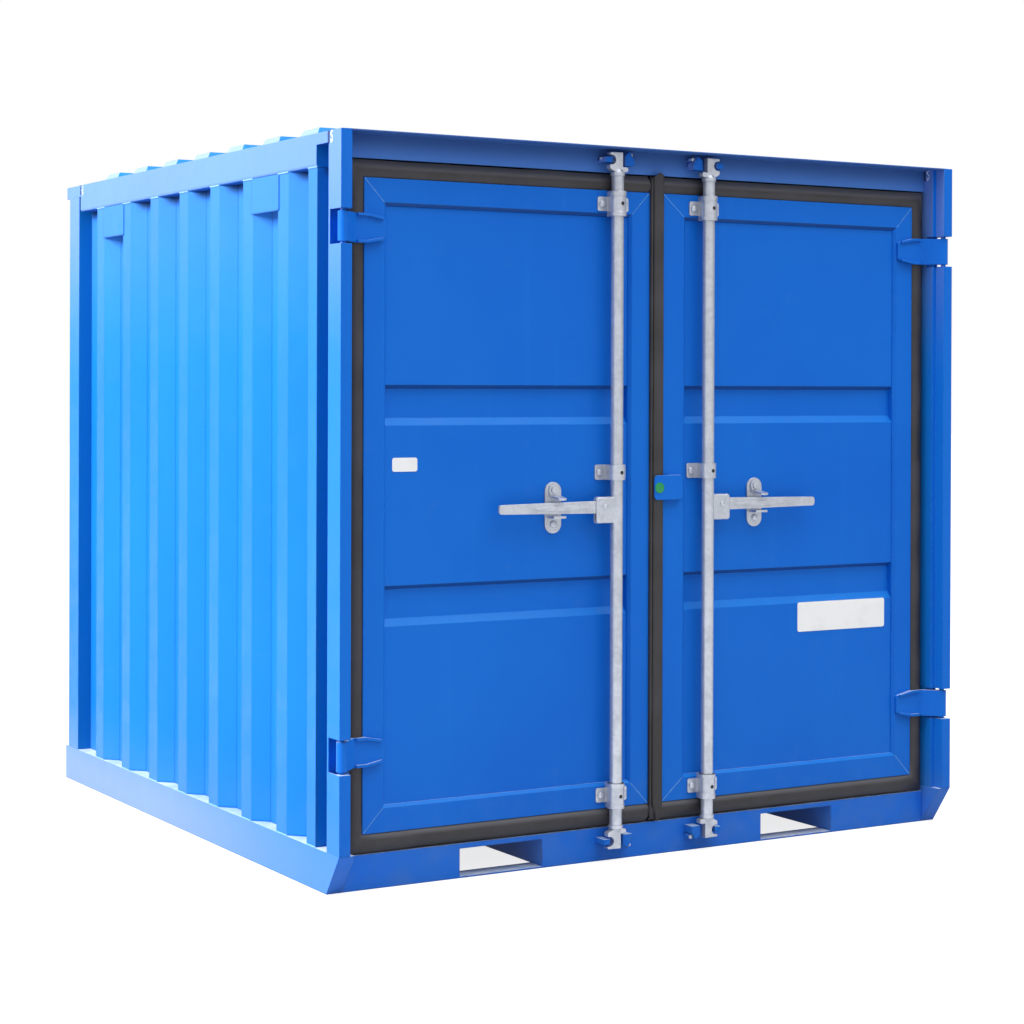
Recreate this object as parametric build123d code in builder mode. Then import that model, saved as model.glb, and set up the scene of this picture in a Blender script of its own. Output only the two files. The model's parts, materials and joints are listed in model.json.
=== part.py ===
from build123d import *
import os

# Small steel storage container with two hinged doors, lock bars and fork pockets.
# X runs along the front, Y to the rear, Z up. Millimetres. The origin is under the middle.

# Whole body
width = 1950.0
length = 1980.0
frame_height = 1882.0
sheet = 2.0
cut_over = 10.0

# Bottom frame
rail_height = 104.0
rail_width = 43.0
rail_wall = 5.0
rail_end_wall = 15.0
sill_recess = 72.0
sill_height = 88.0
sill_depth = 60.0
sill_wall = 4.0
cross_member_depth = 40.0
cross_member_height = 79.0
cross_member_wall = 4.0
cross_member_rows = 3
floor_thickness = 21.0

# Fork pockets
fork_centre = 476.0
fork_width = 245.0
fork_height = 71.0
fork_wall = 4.0

# Front posts and header
post_face = 30.0
post_depth = 70.0
post_step_depth = 33.0
post_wall = 4.0
groove_width = 70.0
header_height = 62.0
header_depth = 50.0
header_wall = 4.0
lip_thickness = 3.0

# Rear frame
rear_post_setback = 26.0
rear_post_depth = 86.0
rear_header_height = 36.0
rear_header_depth = 125.0
rear_header_wall = 4.0

# Top rails
top_rail_height = 83.0
top_rail_nose_height = 29.0
top_rail_wall = 4.0
top_rail_round = 8.0

# Corrugated walls
wall_inset = 3.0
wall_depth = 38.0
wall_flat = 64.0
wall_slope = 40.0
wall_pitch = 223.0
wall_rear_strip = 116.0
wall_end_flat = 52.0
rear_wall_flats = 8
rear_wall_end_strip = 60.0

# Vent covers
vent_height = 94.0
vent_overlap = 8.0

# Roof
roof_inset = 12.0
ridge_height = 26.0
ridge_width = 120.0
ridge_count = 7
ridge_taper = 30.0
ridge_end_gap = 30.0
ridge_front_margin = 286.0
ridge_rear_margin = 272.0

# Door leaves
door_recess = 64.0
left_leaf_gap = 28.0
right_leaf_gap = 16.0
door_jamb_gap = 52.0
door_sill_gap = 52.0
door_head_gap = 48.0
door_thickness = 46.0
door_border = 64.0
door_rail_border = 68.0
door_chamfer = 8.0
panel_recess = 10.0
swage_depth = 14.0
swage_lower_slope = 19.0
swage_upper_slope = 10.0
swage_height = 102.0
swage_middle_shares = (0.3446, 0.6531)

# Seals
seal_clearance = 5.0
seal_thickness = 18.0
seal_strip_half = 19.0
seal_strip_stem_half = 12.0
seal_strip_proud = 10.0
seal_strip_depth = 34.0

# Hinges
hinge_inboard = 15.0
hinge_setback = 20.0
hinge_from_bottom = 206.0
hinge_from_top = 127.0
hinge_notch_height = 86.0
hinge_notch_depth = 62.0
hinge_leaf_height = 74.0
hinge_leaf_thickness = 8.0
hinge_leaf_reach = 57.0
hinge_leaf_bend_out = 32.0
hinge_leaf_shoulder_in = 4.0
hinge_leaf_end_height = 50.0
hinge_leaf_round = 8.0
hinge_rib = 7.0
hinge_rib_start_out = 24.0
hinge_rib_stop_in = 48.0
hinge_knuckle_radius = 13.0
hinge_pin_radius = 7.0
hinge_pin_clearance = 0.3
hinge_lug_thickness = 8.0

# Lock bars
bar_offset = 147.0
bar_stand_off = 26.0
bar_radius = 16.5
bar_running_clearance = 1.0

# Cams at the bar's ends
cam_edge_gap = 11.0
cam_height = 62.0
cam_ring_radius = 19.0
cam_ring_height = 9.0
cam_neck_height = 9.0
cam_neck_sides = 8
cam_neck_taper = 30.0
cam_trunk_half = 10.5
cam_plate_thickness = 18.0
cam_horn_reach = 29.0
cam_horn_low = 19.0
cam_horn_round = 2.5
cam_top_drop = 1.0
cam_notch_middle = 42.0
cam_notch_radius = 13.0
cam_toe_reach = 27.0
cam_toe_low = 12.0
cam_toe_height = 11.0
cam_toe_round = 4.0

# Keepers on the header and sill
keeper_peg_gap = 21.5
keeper_peg_width = 20.0
keeper_peg_height = 14.0
keeper_peg_reach = 42.0
keeper_block_gap = 22.5
keeper_block_width = 28.0
keeper_block_low = 28.5
keeper_block_height = 37.0
keeper_block_reach = 36.0
keeper_block_shoulder = 11.0

# Bar guides
guide_radius = 22.0
guide_barrel_height = 66.0
guide_door_margin = 3.0
guide_flange_height = 38.0
guide_flange_reach = 48.0
guide_flange_thickness = 5.0
guide_flange_chamfer = 4.0
guide_strap_rise = 70.0
guide_strap_height = 40.0
guide_saddle_half = 17.0

# Handles
handle_middle = 938.0
handle_root_height = 34.0
handle_tip_height = 24.0
handle_thickness = 9.0
handle_length = 360.0
handle_tip_round = 8.0
handle_rib_near = 88.0
handle_rib_far = 258.0
handle_rib_half = 6.0
handle_rib_thickness = 5.0
hub_drop = 43.0
hub_height = 70.0
hub_reach = 68.0
hub_plate = 6.0
hub_round = 8.0
hub_fold = 6.0

# Handle retainers and catches
retainer_offset = 178.0
retainer_half_width = 24.5
retainer_drop = 67.0
retainer_height = 134.0
retainer_thickness = 6.0
retainer_bolt_radius = 5.0
retainer_bolt_head_radius = 9.0
retainer_bolt_head = 4.0
shelf_gap = 6.0
shelf_thickness = 6.0
shelf_width = 38.0
catch_pivot_drop = 21.0
catch_thickness = 5.0
catch_play = 0.3
catch_eye_radius = 15.0
catch_tab_half = 12.0
catch_tab_thickness = 5.0
catch_tab_gap = 6.0
catch_tab_reach = 48.0
catch_tab_rise = 8.0
catch_tab_chamfer = 6.0

# Closing flap over the middle seal
flap_rise = 13.5
flap_height = 66.0
flap_plate = 4.0
flap_foot = 12.0
flap_edge = 72.0
flap_foot_edge = 32.0
flap_round = 10.0

# Planes and places that follow from the sizes above
side = width / 2
front = -length / 2
rear = length / 2
wall_zone = wall_inset + wall_depth + sheet
inner_side = side - wall_zone
rail_inner = side - rail_width
sill_face = front + sill_recess
door_face = front + door_recess
door_back = door_face + door_thickness
panel_face = door_face + panel_recess
post_rear = front + post_depth
wall_front = post_rear + groove_width
rear_post_rear = rear - rear_post_setback
rear_post_front = rear_post_rear - rear_post_depth
rear_header_front = rear - rear_header_depth
top_rail_low = frame_height - top_rail_height
top_rail_nose_low = frame_height - top_rail_nose_height
rear_header_low = frame_height - rear_header_height
header_low = frame_height - header_height
floor_front = sill_face + sill_depth
floor_rear = rear_post_rear - wall_zone
floor_top = rail_height + floor_thickness
pin_x = side - hinge_inboard
pin_y = front + hinge_setback
bar_y = door_face - bar_stand_off
door_outer_edge = inner_side - door_jamb_gap
panel_inner_edge = left_leaf_gap + door_border
door_bottom = sill_height + door_sill_gap
door_top = header_low - door_head_gap
hinge_middles = (door_bottom + hinge_from_bottom, door_top - hinge_from_top)
hinge_leaf_end = door_outer_edge - hinge_leaf_reach
hinge_leaf_bend = door_outer_edge + hinge_leaf_bend_out
hinge_leaf_shoulder = door_outer_edge - hinge_leaf_shoulder_in
hinge_rib_start = door_outer_edge + hinge_rib_start_out
hinge_rib_stop = door_outer_edge - hinge_rib_stop_in
cam_low = sill_height + cam_edge_gap
cam_high = header_low - cam_edge_gap
bar_middle_z = (cam_low + cam_high) / 2
guide_low = door_bottom + guide_door_margin
guide_high = door_top - guide_door_margin - guide_barrel_height
guide_strap_low = handle_middle + guide_strap_rise
handle_start = bar_offset + bar_radius
handle_end = bar_offset + handle_length
hub_low = handle_middle - hub_drop
hub_end = bar_offset + hub_reach
retainer_middle = bar_offset + retainer_offset
retainer_low = handle_middle - retainer_drop
flap_low = handle_middle + flap_rise
retainer_top = retainer_low + retainer_height
catch_pivot_z = retainer_top - catch_pivot_drop
retainer_face = panel_face - retainer_thickness
catch_face = retainer_face - catch_play - catch_thickness

os.makedirs("parts", exist_ok=True)


def save(piece, name):
    """Label a finished piece and write it to its own file."""
    piece.part.label = name
    export_step(piece.part, f"parts/{name}.step")


def save_pair(piece, name):
    """Write a left-hand piece and its mirror image on the right."""
    save(piece, f"{name}_left")
    with BuildPart() as other:
        mirror(piece.part, about=Plane.YZ)
    save(other, f"{name}_right")


def save_leaf(piece, name, hand):
    """Write a piece that was built left-handed for one leaf, turned over for the right leaf."""
    with BuildPart() as placed:
        if hand == "right":
            mirror(piece.part, about=Plane.YZ)
        else:
            add(piece.part)
    save(placed, f"{name}_{hand}")


def save_both(piece, name):
    """Write a left-hand piece and its mirror image together."""
    with BuildPart() as both:
        add(piece.part)
        mirror(piece.part, about=Plane.YZ)
    save(both, name)


def block(low, high, mode=Mode.ADD):
    """A box between two corners, in the part being built."""
    size = [h - l for l, h in zip(low, high)]
    middle = [(h + l) / 2 for l, h in zip(low, high)]
    with Locations(tuple(middle)):
        Box(*size, mode=mode)


def corrugated(points, low, high):
    """A bent sheet that follows a line in plan, from one height to another."""
    with BuildSketch(Plane.XY.offset(low)) as section:
        with BuildLine():
            Polyline(*points)
            offset(amount=sheet, side=Side.LEFT, kind=Kind.INTERSECTION)
        make_face()
    extrude(section.sketch, amount=high - low)


# Bottom rails: box sections whose front ends are cut back to the sill
with BuildPart() as bottom_rail:
    with BuildSketch(Plane.YZ.offset(-side)):
        with BuildLine():
            Polyline((front, rail_height), (rear, rail_height), (rear, 0), (sill_face, 0), close=True)
        make_face()
    extrude(amount=rail_width)
    with BuildSketch(Plane.YZ.offset(-side + rail_wall)):
        with BuildLine():
            Polyline(
                (front + rail_end_wall, rail_height - rail_wall),
                (rear + cut_over, rail_height - rail_wall),
                (rear + cut_over, rail_wall),
                (sill_face + rail_wall, rail_wall),
                close=True,
            )
        make_face()
    extrude(amount=rail_width - 2 * rail_wall, mode=Mode.SUBTRACT)
save_pair(bottom_rail, "bottom_rail")

# Sills: channels with the fork openings cut through their faces, the front one with a threshold
fork_low = sill_wall
fork_top = fork_low + fork_height


def sill(face_y, inward, height, depth):
    """A channel across the frame, its face at face_y and its flanges going inward."""
    back_y = face_y + inward * depth
    wall_y = face_y + inward * sill_wall
    near, far = sorted((face_y, back_y))
    block((-rail_inner, near, 0), (rail_inner, far, height))
    near, far = sorted((wall_y, back_y + inward * cut_over))
    block(
        (-rail_inner - cut_over, near, sill_wall),
        (rail_inner + cut_over, far, height - sill_wall),
        Mode.SUBTRACT,
    )
    near, far = sorted((face_y - inward * cut_over, wall_y + inward * cut_over))
    for hand in (-1, 1):
        x = hand * fork_centre
        block(
            (x - fork_width / 2, near, fork_low),
            (x + fork_width / 2, far, fork_top),
            Mode.SUBTRACT,
        )


with BuildPart() as front_sill:
    sill(sill_face, 1, sill_height, sill_depth)
    block(
        (-rail_inner, floor_front - sill_wall, sill_height - sill_wall),
        (rail_inner, floor_front, floor_top),
    )
save(front_sill, "front_sill")

with BuildPart() as rear_sill:
    sill(rear, -1, rail_height, rear - floor_rear)
save(rear_sill, "rear_sill")

# Fork pockets: upturned channels from sill to sill, open underneath
with BuildPart() as fork_pocket:
    outer = fork_width / 2 + fork_wall
    near, far = sill_face + sill_wall, rear - sill_wall
    block((-fork_centre - outer, near, fork_low), (-fork_centre + outer, far, fork_top + fork_wall))
    block(
        (-fork_centre - fork_width / 2, near - cut_over, fork_low - cut_over),
        (-fork_centre + fork_width / 2, far + cut_over, fork_top),
        Mode.SUBTRACT,
    )
save_pair(fork_pocket, "fork_pocket")

# Cross members: short channels between the rails and the pockets
with BuildPart() as cross_members:
    outer = fork_width / 2 + fork_wall
    spans = (
        (-rail_inner, -fork_centre - outer),
        (-fork_centre + outer, fork_centre - outer),
        (fork_centre + outer, rail_inner),
    )
    step = (floor_rear - floor_front) / (cross_member_rows + 1)
    low = rail_height - cross_member_height
    for row in range(cross_member_rows):
        y = floor_front + step * (row + 1)
        for start, end in spans:
            block((start, y, low), (end, y + cross_member_depth, rail_height))
            block(
                (start - cut_over, y + cross_member_wall, low + cross_member_wall),
                (end + cut_over, y + cross_member_depth + cut_over, rail_height - cross_member_wall),
                Mode.SUBTRACT,
            )
save(cross_members, "cross_members")

# Floor board
with BuildPart() as floor:
    block((-inner_side, floor_front, rail_height), (inner_side, floor_rear, floor_top))
save(floor, "floor")

# Front posts: stepped hollow sections with a jamb plate back to the side wall and hinge notches
with BuildPart() as front_post:
    with BuildSketch(Plane.XY.offset(rail_height)):
        with BuildLine():
            Polyline(
                (-side, front),
                (-side + post_face, front),
                (-side + post_face, front + post_step_depth),
                (-inner_side, front + post_step_depth),
                (-inner_side, post_rear),
                (-side, post_rear),
                close=True,
            )
        make_face()
        offset(amount=-post_wall, kind=Kind.INTERSECTION, mode=Mode.SUBTRACT)
    extrude(amount=frame_height - rail_height)
    block((-inner_side - sheet, post_rear, rail_height), (-inner_side, wall_front, top_rail_nose_low))
    for middle in hinge_middles:
        block(
            (-side - cut_over, front - cut_over, middle - hinge_notch_height / 2),
            (-inner_side + cut_over, front + hinge_notch_depth, middle + hinge_notch_height / 2),
            Mode.SUBTRACT,
        )
save_pair(front_post, "front_post")

# Hinge pins with the lugs that hold them inside the posts
with BuildPart() as hinge_pins:
    for middle in hinge_middles:
        notch_low = middle - hinge_notch_height / 2
        notch_high = middle + hinge_notch_height / 2
        lug_low = (-side + post_wall, front + post_wall)
        lug_high = (-side + post_face - post_wall, front + post_step_depth - post_wall)
        block((*lug_low, notch_low - hinge_lug_thickness), (*lug_high, notch_low))
        block((*lug_low, notch_high), (*lug_high, notch_high + hinge_lug_thickness))
        with BuildSketch(Plane.XY.offset(notch_low - hinge_lug_thickness)):
            with Locations((-pin_x, pin_y)):
                Circle(hinge_pin_radius)
        extrude(amount=hinge_notch_height + 2 * hinge_lug_thickness)
save_both(hinge_pins, "hinge_pins")

# Front header: a channel between the jamb plates, open to the rear
with BuildPart() as front_header:
    near, far = sill_face, sill_face + header_depth
    block((-inner_side, near, header_low), (inner_side, far, frame_height))
    block(
        (-inner_side - cut_over, near + header_wall, header_low + header_wall),
        (inner_side + cut_over, far + cut_over, frame_height - header_wall),
        Mode.SUBTRACT,
    )
save(front_header, "front_header")

# Header lip: the plate that carries the roof out to the front of the posts
with BuildPart() as header_lip:
    lip_low = frame_height - lip_thickness
    step_y = front + post_step_depth
    block((-side + post_face, front, lip_low), (side - post_face, step_y, frame_height))
    block((-inner_side, step_y, lip_low), (inner_side, sill_face, frame_height))
save(header_lip, "header_lip")

# Rear posts: hollow sections under the rear header
with BuildPart() as rear_post:
    with BuildSketch(Plane.XY.offset(rail_height)):
        with Locations((-(side + inner_side) / 2, (rear_post_front + rear_post_rear) / 2)):
            Rectangle(wall_zone, rear_post_depth)
        offset(amount=-post_wall, kind=Kind.INTERSECTION, mode=Mode.SUBTRACT)
    extrude(amount=rear_header_low - rail_height)
save_pair(rear_post, "rear_post")

# Rear header: a tray open to the front
with BuildPart() as rear_header:
    block((-side, rear_header_front, rear_header_low), (side, rear, frame_height))
    block(
        (-side + rear_header_wall, rear_header_front - cut_over, rear_header_low + rear_header_wall),
        (side - rear_header_wall, rear - rear_header_wall, frame_height - rear_header_wall),
        Mode.SUBTRACT,
    )
save(rear_header, "rear_header")

# Top rails: channels open to the inside, with a thinner nose over the groove
with BuildPart() as top_rail:
    block((-side, wall_front, top_rail_low), (-inner_side, rear_header_front, frame_height))
    lower_edge = top_rail.edges().filter_by(Axis.Y).group_by(Axis.Z)[0].sort_by(Axis.X)[0]
    fillet(lower_edge, top_rail_round)
    block(
        (-side + top_rail_wall, wall_front + top_rail_wall, top_rail_low + top_rail_wall),
        (-inner_side + cut_over, rear_header_front - top_rail_wall, frame_height - top_rail_wall),
        Mode.SUBTRACT,
    )
    block((-side, post_rear, top_rail_nose_low), (-inner_side, wall_front, frame_height))
save_pair(top_rail, "top_rail")

# Side walls: upright corrugations, ending in a square return beside the groove
wall_out = -side + wall_inset
wall_in = wall_out + wall_depth
first_flat = rear_post_front - wall_rear_strip - wall_slope
end_flat_rear = wall_front + wall_end_flat
wall_run = first_flat - wall_flat - 2 * wall_slope - end_flat_rear
wall_flats = int(wall_run // wall_pitch) + 1
flat_starts = [first_flat - wall_pitch * n for n in range(wall_flats)]


def side_wall_points():
    """The outside line of the left wall in plan, from the rear post to the groove."""
    points = [(wall_in, rear_post_front)]
    for start in flat_starts:
        points.append((wall_in, start + wall_slope))
        points.append((wall_out, start))
        points.append((wall_out, start - wall_flat))
        points.append((wall_in, start - wall_flat - wall_slope))
    points.append((wall_in, end_flat_rear + wall_slope))
    points.append((wall_out, end_flat_rear))
    points.append((wall_out, wall_front))
    points.append((wall_in + sheet, wall_front))
    return points


with BuildPart() as side_wall:
    corrugated(side_wall_points(), rail_height, top_rail_low)
save_pair(side_wall, "side_wall")

# Vent covers: plates that bridge the end valleys under each top rail
with BuildPart() as vent_cover:
    for behind, before in (flat_starts[:2], flat_starts[-2:]):
        block(
            (wall_out - sheet, before - vent_overlap, top_rail_low - vent_height),
            (wall_out, behind - wall_flat + vent_overlap, top_rail_low),
        )
save_both(vent_cover, "vent_covers")

# Rear wall: the same corrugations between the rear posts
rear_wall_out = rear_post_rear - wall_inset
rear_wall_in = rear_wall_out - wall_depth
rear_wall_run = 2 * (inner_side - rear_wall_end_strip - wall_slope) - wall_flat
rear_wall_pitch = rear_wall_run / (rear_wall_flats - 1)


def rear_wall_points():
    """The outside line of the rear wall in plan, from right to left."""
    points = [(inner_side, rear_wall_in)]
    for n in range(rear_wall_flats):
        start = inner_side - rear_wall_end_strip - wall_slope - rear_wall_pitch * n
        points.append((start + wall_slope, rear_wall_in))
        points.append((start, rear_wall_out))
        points.append((start - wall_flat, rear_wall_out))
        points.append((start - wall_flat - wall_slope, rear_wall_in))
    points.append((-inner_side, rear_wall_in))
    return points


with BuildPart() as rear_wall:
    corrugated(rear_wall_points(), rail_height, rear_header_low)
save(rear_wall, "rear_wall")

# Roof: a sheet with pressed ridges across it, closed at their ends
with BuildPart() as roof:
    roof_half = side - roof_inset
    block(
        (-roof_half, front + roof_inset, frame_height),
        (roof_half, rear - roof_inset, frame_height + sheet),
    )
    ridge_length = 2 * (roof_half - ridge_end_gap)
    ridge_pitch = (length - ridge_front_margin - ridge_rear_margin) / (ridge_count - 1)
    middles = [(0, front + ridge_front_margin + ridge_pitch * n) for n in range(ridge_count)]
    with BuildSketch(Plane.XY.offset(frame_height + sheet)):
        with Locations(*middles):
            Rectangle(ridge_length, ridge_width)
    extrude(amount=ridge_height, taper=ridge_taper)
    with BuildSketch(Plane.XY.offset(frame_height)):
        with Locations(*middles):
            Rectangle(ridge_length - 2 * sheet, ridge_width - 2 * sheet)
    extrude(amount=ridge_height, taper=ridge_taper, mode=Mode.SUBTRACT)
save(roof, "roof")

# Keepers: a peg in the cam's notch and a pointed block beside it, on the header and the sill
with BuildPart() as keeper:
    peg_x = -bar_offset - keeper_peg_gap
    peg_z = cam_high + cam_notch_middle
    block(
        (peg_x - keeper_peg_width, sill_face - keeper_peg_reach, peg_z - keeper_peg_height / 2),
        (peg_x, sill_face, peg_z + keeper_peg_height / 2),
    )
    block_x = -bar_offset + keeper_block_gap
    block_low = cam_high + keeper_block_low
    block_high = block_low + keeper_block_height
    with BuildSketch(Plane.XZ.offset(-sill_face)):
        with BuildLine():
            Polyline(
                (block_x, block_low),
                (block_x + keeper_block_width, block_low),
                (block_x + keeper_block_width, block_high - 2 * keeper_block_shoulder),
                (block_x + keeper_block_width / 2, block_high),
                (block_x, block_high - keeper_block_shoulder),
                close=True,
            )
        make_face()
    extrude(amount=keeper_block_reach)

with BuildPart() as keepers:
    add(keeper.part)
    mirror(keeper.part, about=Plane.XY.offset(bar_middle_z))
save_both(keepers, "cam_keepers")

# Door leaves: a welded border with an opening for the pressed panel, wider beside the right leaf's seal
leaf_gaps = {"left": left_leaf_gap, "right": right_leaf_gap}
for hand, gap in leaf_gaps.items():
    with BuildPart() as door_frame:
        block((-door_outer_edge, door_face, door_bottom), (-gap, door_back, door_top))
        block(
            (-door_outer_edge + door_border, door_face - cut_over, door_bottom + door_rail_border),
            (-panel_inner_edge, door_back + cut_over, door_top - door_rail_border),
            Mode.SUBTRACT,
        )
        front_edges = door_frame.faces().sort_by(Axis.Y)[0].inner_wires()[0].edges()
        chamfer(front_edges, door_chamfer)
    save_leaf(door_frame, "door_frame", hand)

# Door panels: a sheet with two swages pressed inwards
with BuildPart() as door_panel:
    panel_low = door_bottom + door_rail_border
    panel_high = door_top - door_rail_border
    points = [(panel_face, panel_low)]
    for share in swage_middle_shares:
        middle = door_bottom + (door_top - door_bottom) * share
        points.append((panel_face, middle - swage_height / 2))
        points.append((panel_face + swage_depth, middle - swage_height / 2 + swage_lower_slope))
        points.append((panel_face + swage_depth, middle + swage_height / 2 - swage_upper_slope))
        points.append((panel_face, middle + swage_height / 2))
    points.append((panel_face, panel_high))
    with BuildSketch(Plane.YZ.offset(-door_outer_edge + door_border)):
        with BuildLine():
            Polyline(*points)
            offset(amount=sheet, side=Side.RIGHT, kind=Kind.INTERSECTION)
        make_face()
    extrude(amount=door_outer_edge - door_border - panel_inner_edge)
save_pair(door_panel, "door_panel")

# Seals round the outer sides of each door
seal_low = sill_height + seal_clearance
seal_high = header_low - seal_clearance
seal_edge = min(inner_side, rail_inner) - seal_clearance
for hand, gap in leaf_gaps.items():
    with BuildPart() as door_seal:
        block((-seal_edge, door_face, seal_low), (-gap, door_face + seal_thickness, seal_high))
        block(
            (-door_outer_edge, door_face - cut_over, door_bottom),
            (-gap + cut_over, door_face + seal_thickness + cut_over, door_top),
            Mode.SUBTRACT,
        )
    save_leaf(door_seal, "door_seal", hand)

# Middle seal: a cap in front of the joint and a stem between the leaves, on the right door
with BuildPart() as middle_seal:
    block(
        (-seal_strip_half, door_face - seal_strip_proud, seal_low),
        (right_leaf_gap, door_face, seal_high),
    )
    block(
        (-seal_strip_stem_half, door_face, door_bottom),
        (right_leaf_gap, door_face + seal_strip_depth, door_top),
    )
save(middle_seal, "middle_seal")

# Hinge leaves: a knuckle round the pin and a tapered strap with ribs along its edges
with BuildPart() as hinge_leaf:
    strap_front = door_face - hinge_leaf_thickness
    for middle in hinge_middles:
        with BuildSketch(Plane.XY.offset(middle - hinge_leaf_height / 2)):
            with Locations((-pin_x, pin_y)):
                Circle(hinge_knuckle_radius)
            with Locations((-hinge_leaf_bend, door_face - hinge_leaf_thickness / 2)):
                Rectangle(hinge_leaf_thickness, hinge_leaf_thickness)
            make_hull()
            with Locations((-pin_x, pin_y)):
                Circle(hinge_pin_radius + hinge_pin_clearance, mode=Mode.SUBTRACT)
        extrude(amount=hinge_leaf_height)
        with BuildSketch(Plane.XZ.offset(-door_face)) as strap:
            with BuildLine():
                half, end_half = hinge_leaf_height / 2, hinge_leaf_end_height / 2
                Polyline(
                    (-hinge_leaf_bend, middle - half),
                    (-hinge_leaf_shoulder, middle - half),
                    (-hinge_leaf_end, middle - end_half),
                    (-hinge_leaf_end, middle + end_half),
                    (-hinge_leaf_shoulder, middle + half),
                    (-hinge_leaf_bend, middle + half),
                    close=True,
                )
            make_face()
            fillet(strap.vertices().group_by(Axis.X)[-1], hinge_leaf_round)
        extrude(amount=hinge_leaf_thickness)
        with BuildSketch(Plane.XZ.offset(-strap_front)):
            with BuildLine():
                Polyline(
                    (-hinge_rib_start, middle + half),
                    (-hinge_leaf_shoulder, middle + half),
                    (-hinge_rib_stop, middle + end_half + hinge_rib / 2),
                    (-hinge_rib_stop, middle + end_half - hinge_rib / 2),
                    (-hinge_leaf_shoulder, middle + half - hinge_rib),
                    (-hinge_rib_start, middle + half - hinge_rib),
                    close=True,
                )
            make_face()
            mirror(about=Plane.XZ.offset(-middle))
        extrude(amount=hinge_rib)
save_pair(hinge_leaf, "hinge_leaves")


def ring(low, height, radius, mode=Mode.ADD):
    """A cylinder round the left bar's axis, in the part being built."""
    with BuildSketch(Plane.XY.offset(low)) as section:
        with Locations((-bar_offset, bar_y)):
            Circle(radius)
    extrude(section.sketch, amount=height, mode=mode)


def guide(low, height, flange_height, seat):
    """A bar guide: a barrel on a saddle with a flange fixed to the seat plane."""
    middle = low + height / 2
    ring(low, height, guide_radius)
    block(
        (-bar_offset - guide_saddle_half, bar_y, low),
        (-bar_offset + guide_saddle_half, seat, low + height),
    )
    with BuildSketch(Plane.XZ.offset(-seat)) as flange:
        with Locations((-bar_offset, middle)):
            Rectangle(2 * guide_flange_reach, flange_height)
        chamfer(flange.vertices(), guide_flange_chamfer)
    extrude(flange.sketch, amount=guide_flange_thickness)
    ring(low - cut_over, height + 2 * cut_over, bar_radius + bar_running_clearance, Mode.SUBTRACT)


# Bar guides: long ones near the bar's ends and a short strap above the handle
with BuildPart() as guides:
    for low in (guide_low, guide_high):
        guide(low, guide_barrel_height, guide_flange_height, door_face)
    guide(guide_strap_low, guide_strap_height, guide_strap_height, panel_face)
save_pair(guides, "bar_guides")

# Lock bars: a round bar with the folded hub that holds the handle
with BuildPart() as lock_bar:
    bar_length = cam_high - cam_low
    slot = handle_thickness / 2
    handle_top = handle_middle + handle_root_height / 2
    with BuildSketch(Plane.XZ.offset(-(bar_y + slot + hub_plate))):
        with Locations((-(bar_offset + hub_end) / 2, hub_low + hub_height / 2)):
            RectangleRounded(hub_reach, hub_height, hub_round)
    extrude(amount=2 * (slot + hub_plate))
    fillet(lock_bar.edges().filter_by(Axis.X).group_by(Axis.Z)[-1], hub_fold)
    ring(cam_low, bar_length, bar_radius)
    block(
        (-hub_end - cut_over, bar_y - slot, hub_low - cut_over),
        (-handle_start, bar_y + slot, handle_top),
        Mode.SUBTRACT,
    )
save_pair(lock_bar, "lock_bar")

# Cams: a ring and a neck on each end of the bar, a plate with two horns round the peg, and a toe
with BuildPart() as cam:
    ring(cam_high, cam_ring_height, cam_ring_radius)
    with BuildSketch(Plane.XY.offset(cam_high + cam_ring_height)):
        with Locations((-bar_offset, bar_y)):
            RegularPolygon(bar_radius, cam_neck_sides)
    extrude(amount=cam_neck_height, taper=cam_neck_taper)
    plate_low = cam_high + cam_ring_height
    plate_high = cam_high + cam_height
    toe_low = cam_high + cam_toe_low
    horn_x = -bar_offset - cam_horn_reach
    toe_x = -bar_offset + cam_toe_reach
    with BuildSketch(Plane.XZ.offset(-(bar_y + cam_plate_thickness / 2))) as outline:
        with BuildLine():
            Polyline(
                (-bar_offset - cam_trunk_half, plate_low),
                (-bar_offset + cam_trunk_half, plate_low),
                (toe_x, toe_low),
                (toe_x, toe_low + cam_toe_height),
                (-bar_offset + cam_trunk_half, toe_low + cam_toe_height),
                (-bar_offset + cam_trunk_half, plate_high),
                (horn_x, plate_high - cam_top_drop),
                (horn_x, cam_high + cam_horn_low),
                close=True,
            )
        make_face()
        with Locations((-bar_offset - cam_trunk_half - cam_notch_radius, cam_high + cam_notch_middle)):
            Circle(cam_notch_radius, mode=Mode.SUBTRACT)
        with Locations((horn_x, cam_high + cam_notch_middle)):
            notch_run = cam_horn_reach - cam_trunk_half - cam_notch_radius
            Rectangle(2 * notch_run, 2 * cam_notch_radius, mode=Mode.SUBTRACT)
        fillet(outline.vertices().group_by(Axis.X)[0], cam_horn_round)
        fillet(outline.vertices().group_by(Axis.X)[-1], cam_toe_round)
    extrude(amount=cam_plate_thickness)

with BuildPart() as cams:
    add(cam.part)
    mirror(cam.part, about=Plane.XY.offset(bar_middle_z))
save_pair(cams, "bar_cams")


def handle_half(x):
    """Half the handle's height at a distance from the middle of the doors."""
    along = (x - handle_start) / (handle_end - handle_start)
    return (handle_root_height + (handle_tip_height - handle_root_height) * along) / 2


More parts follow.
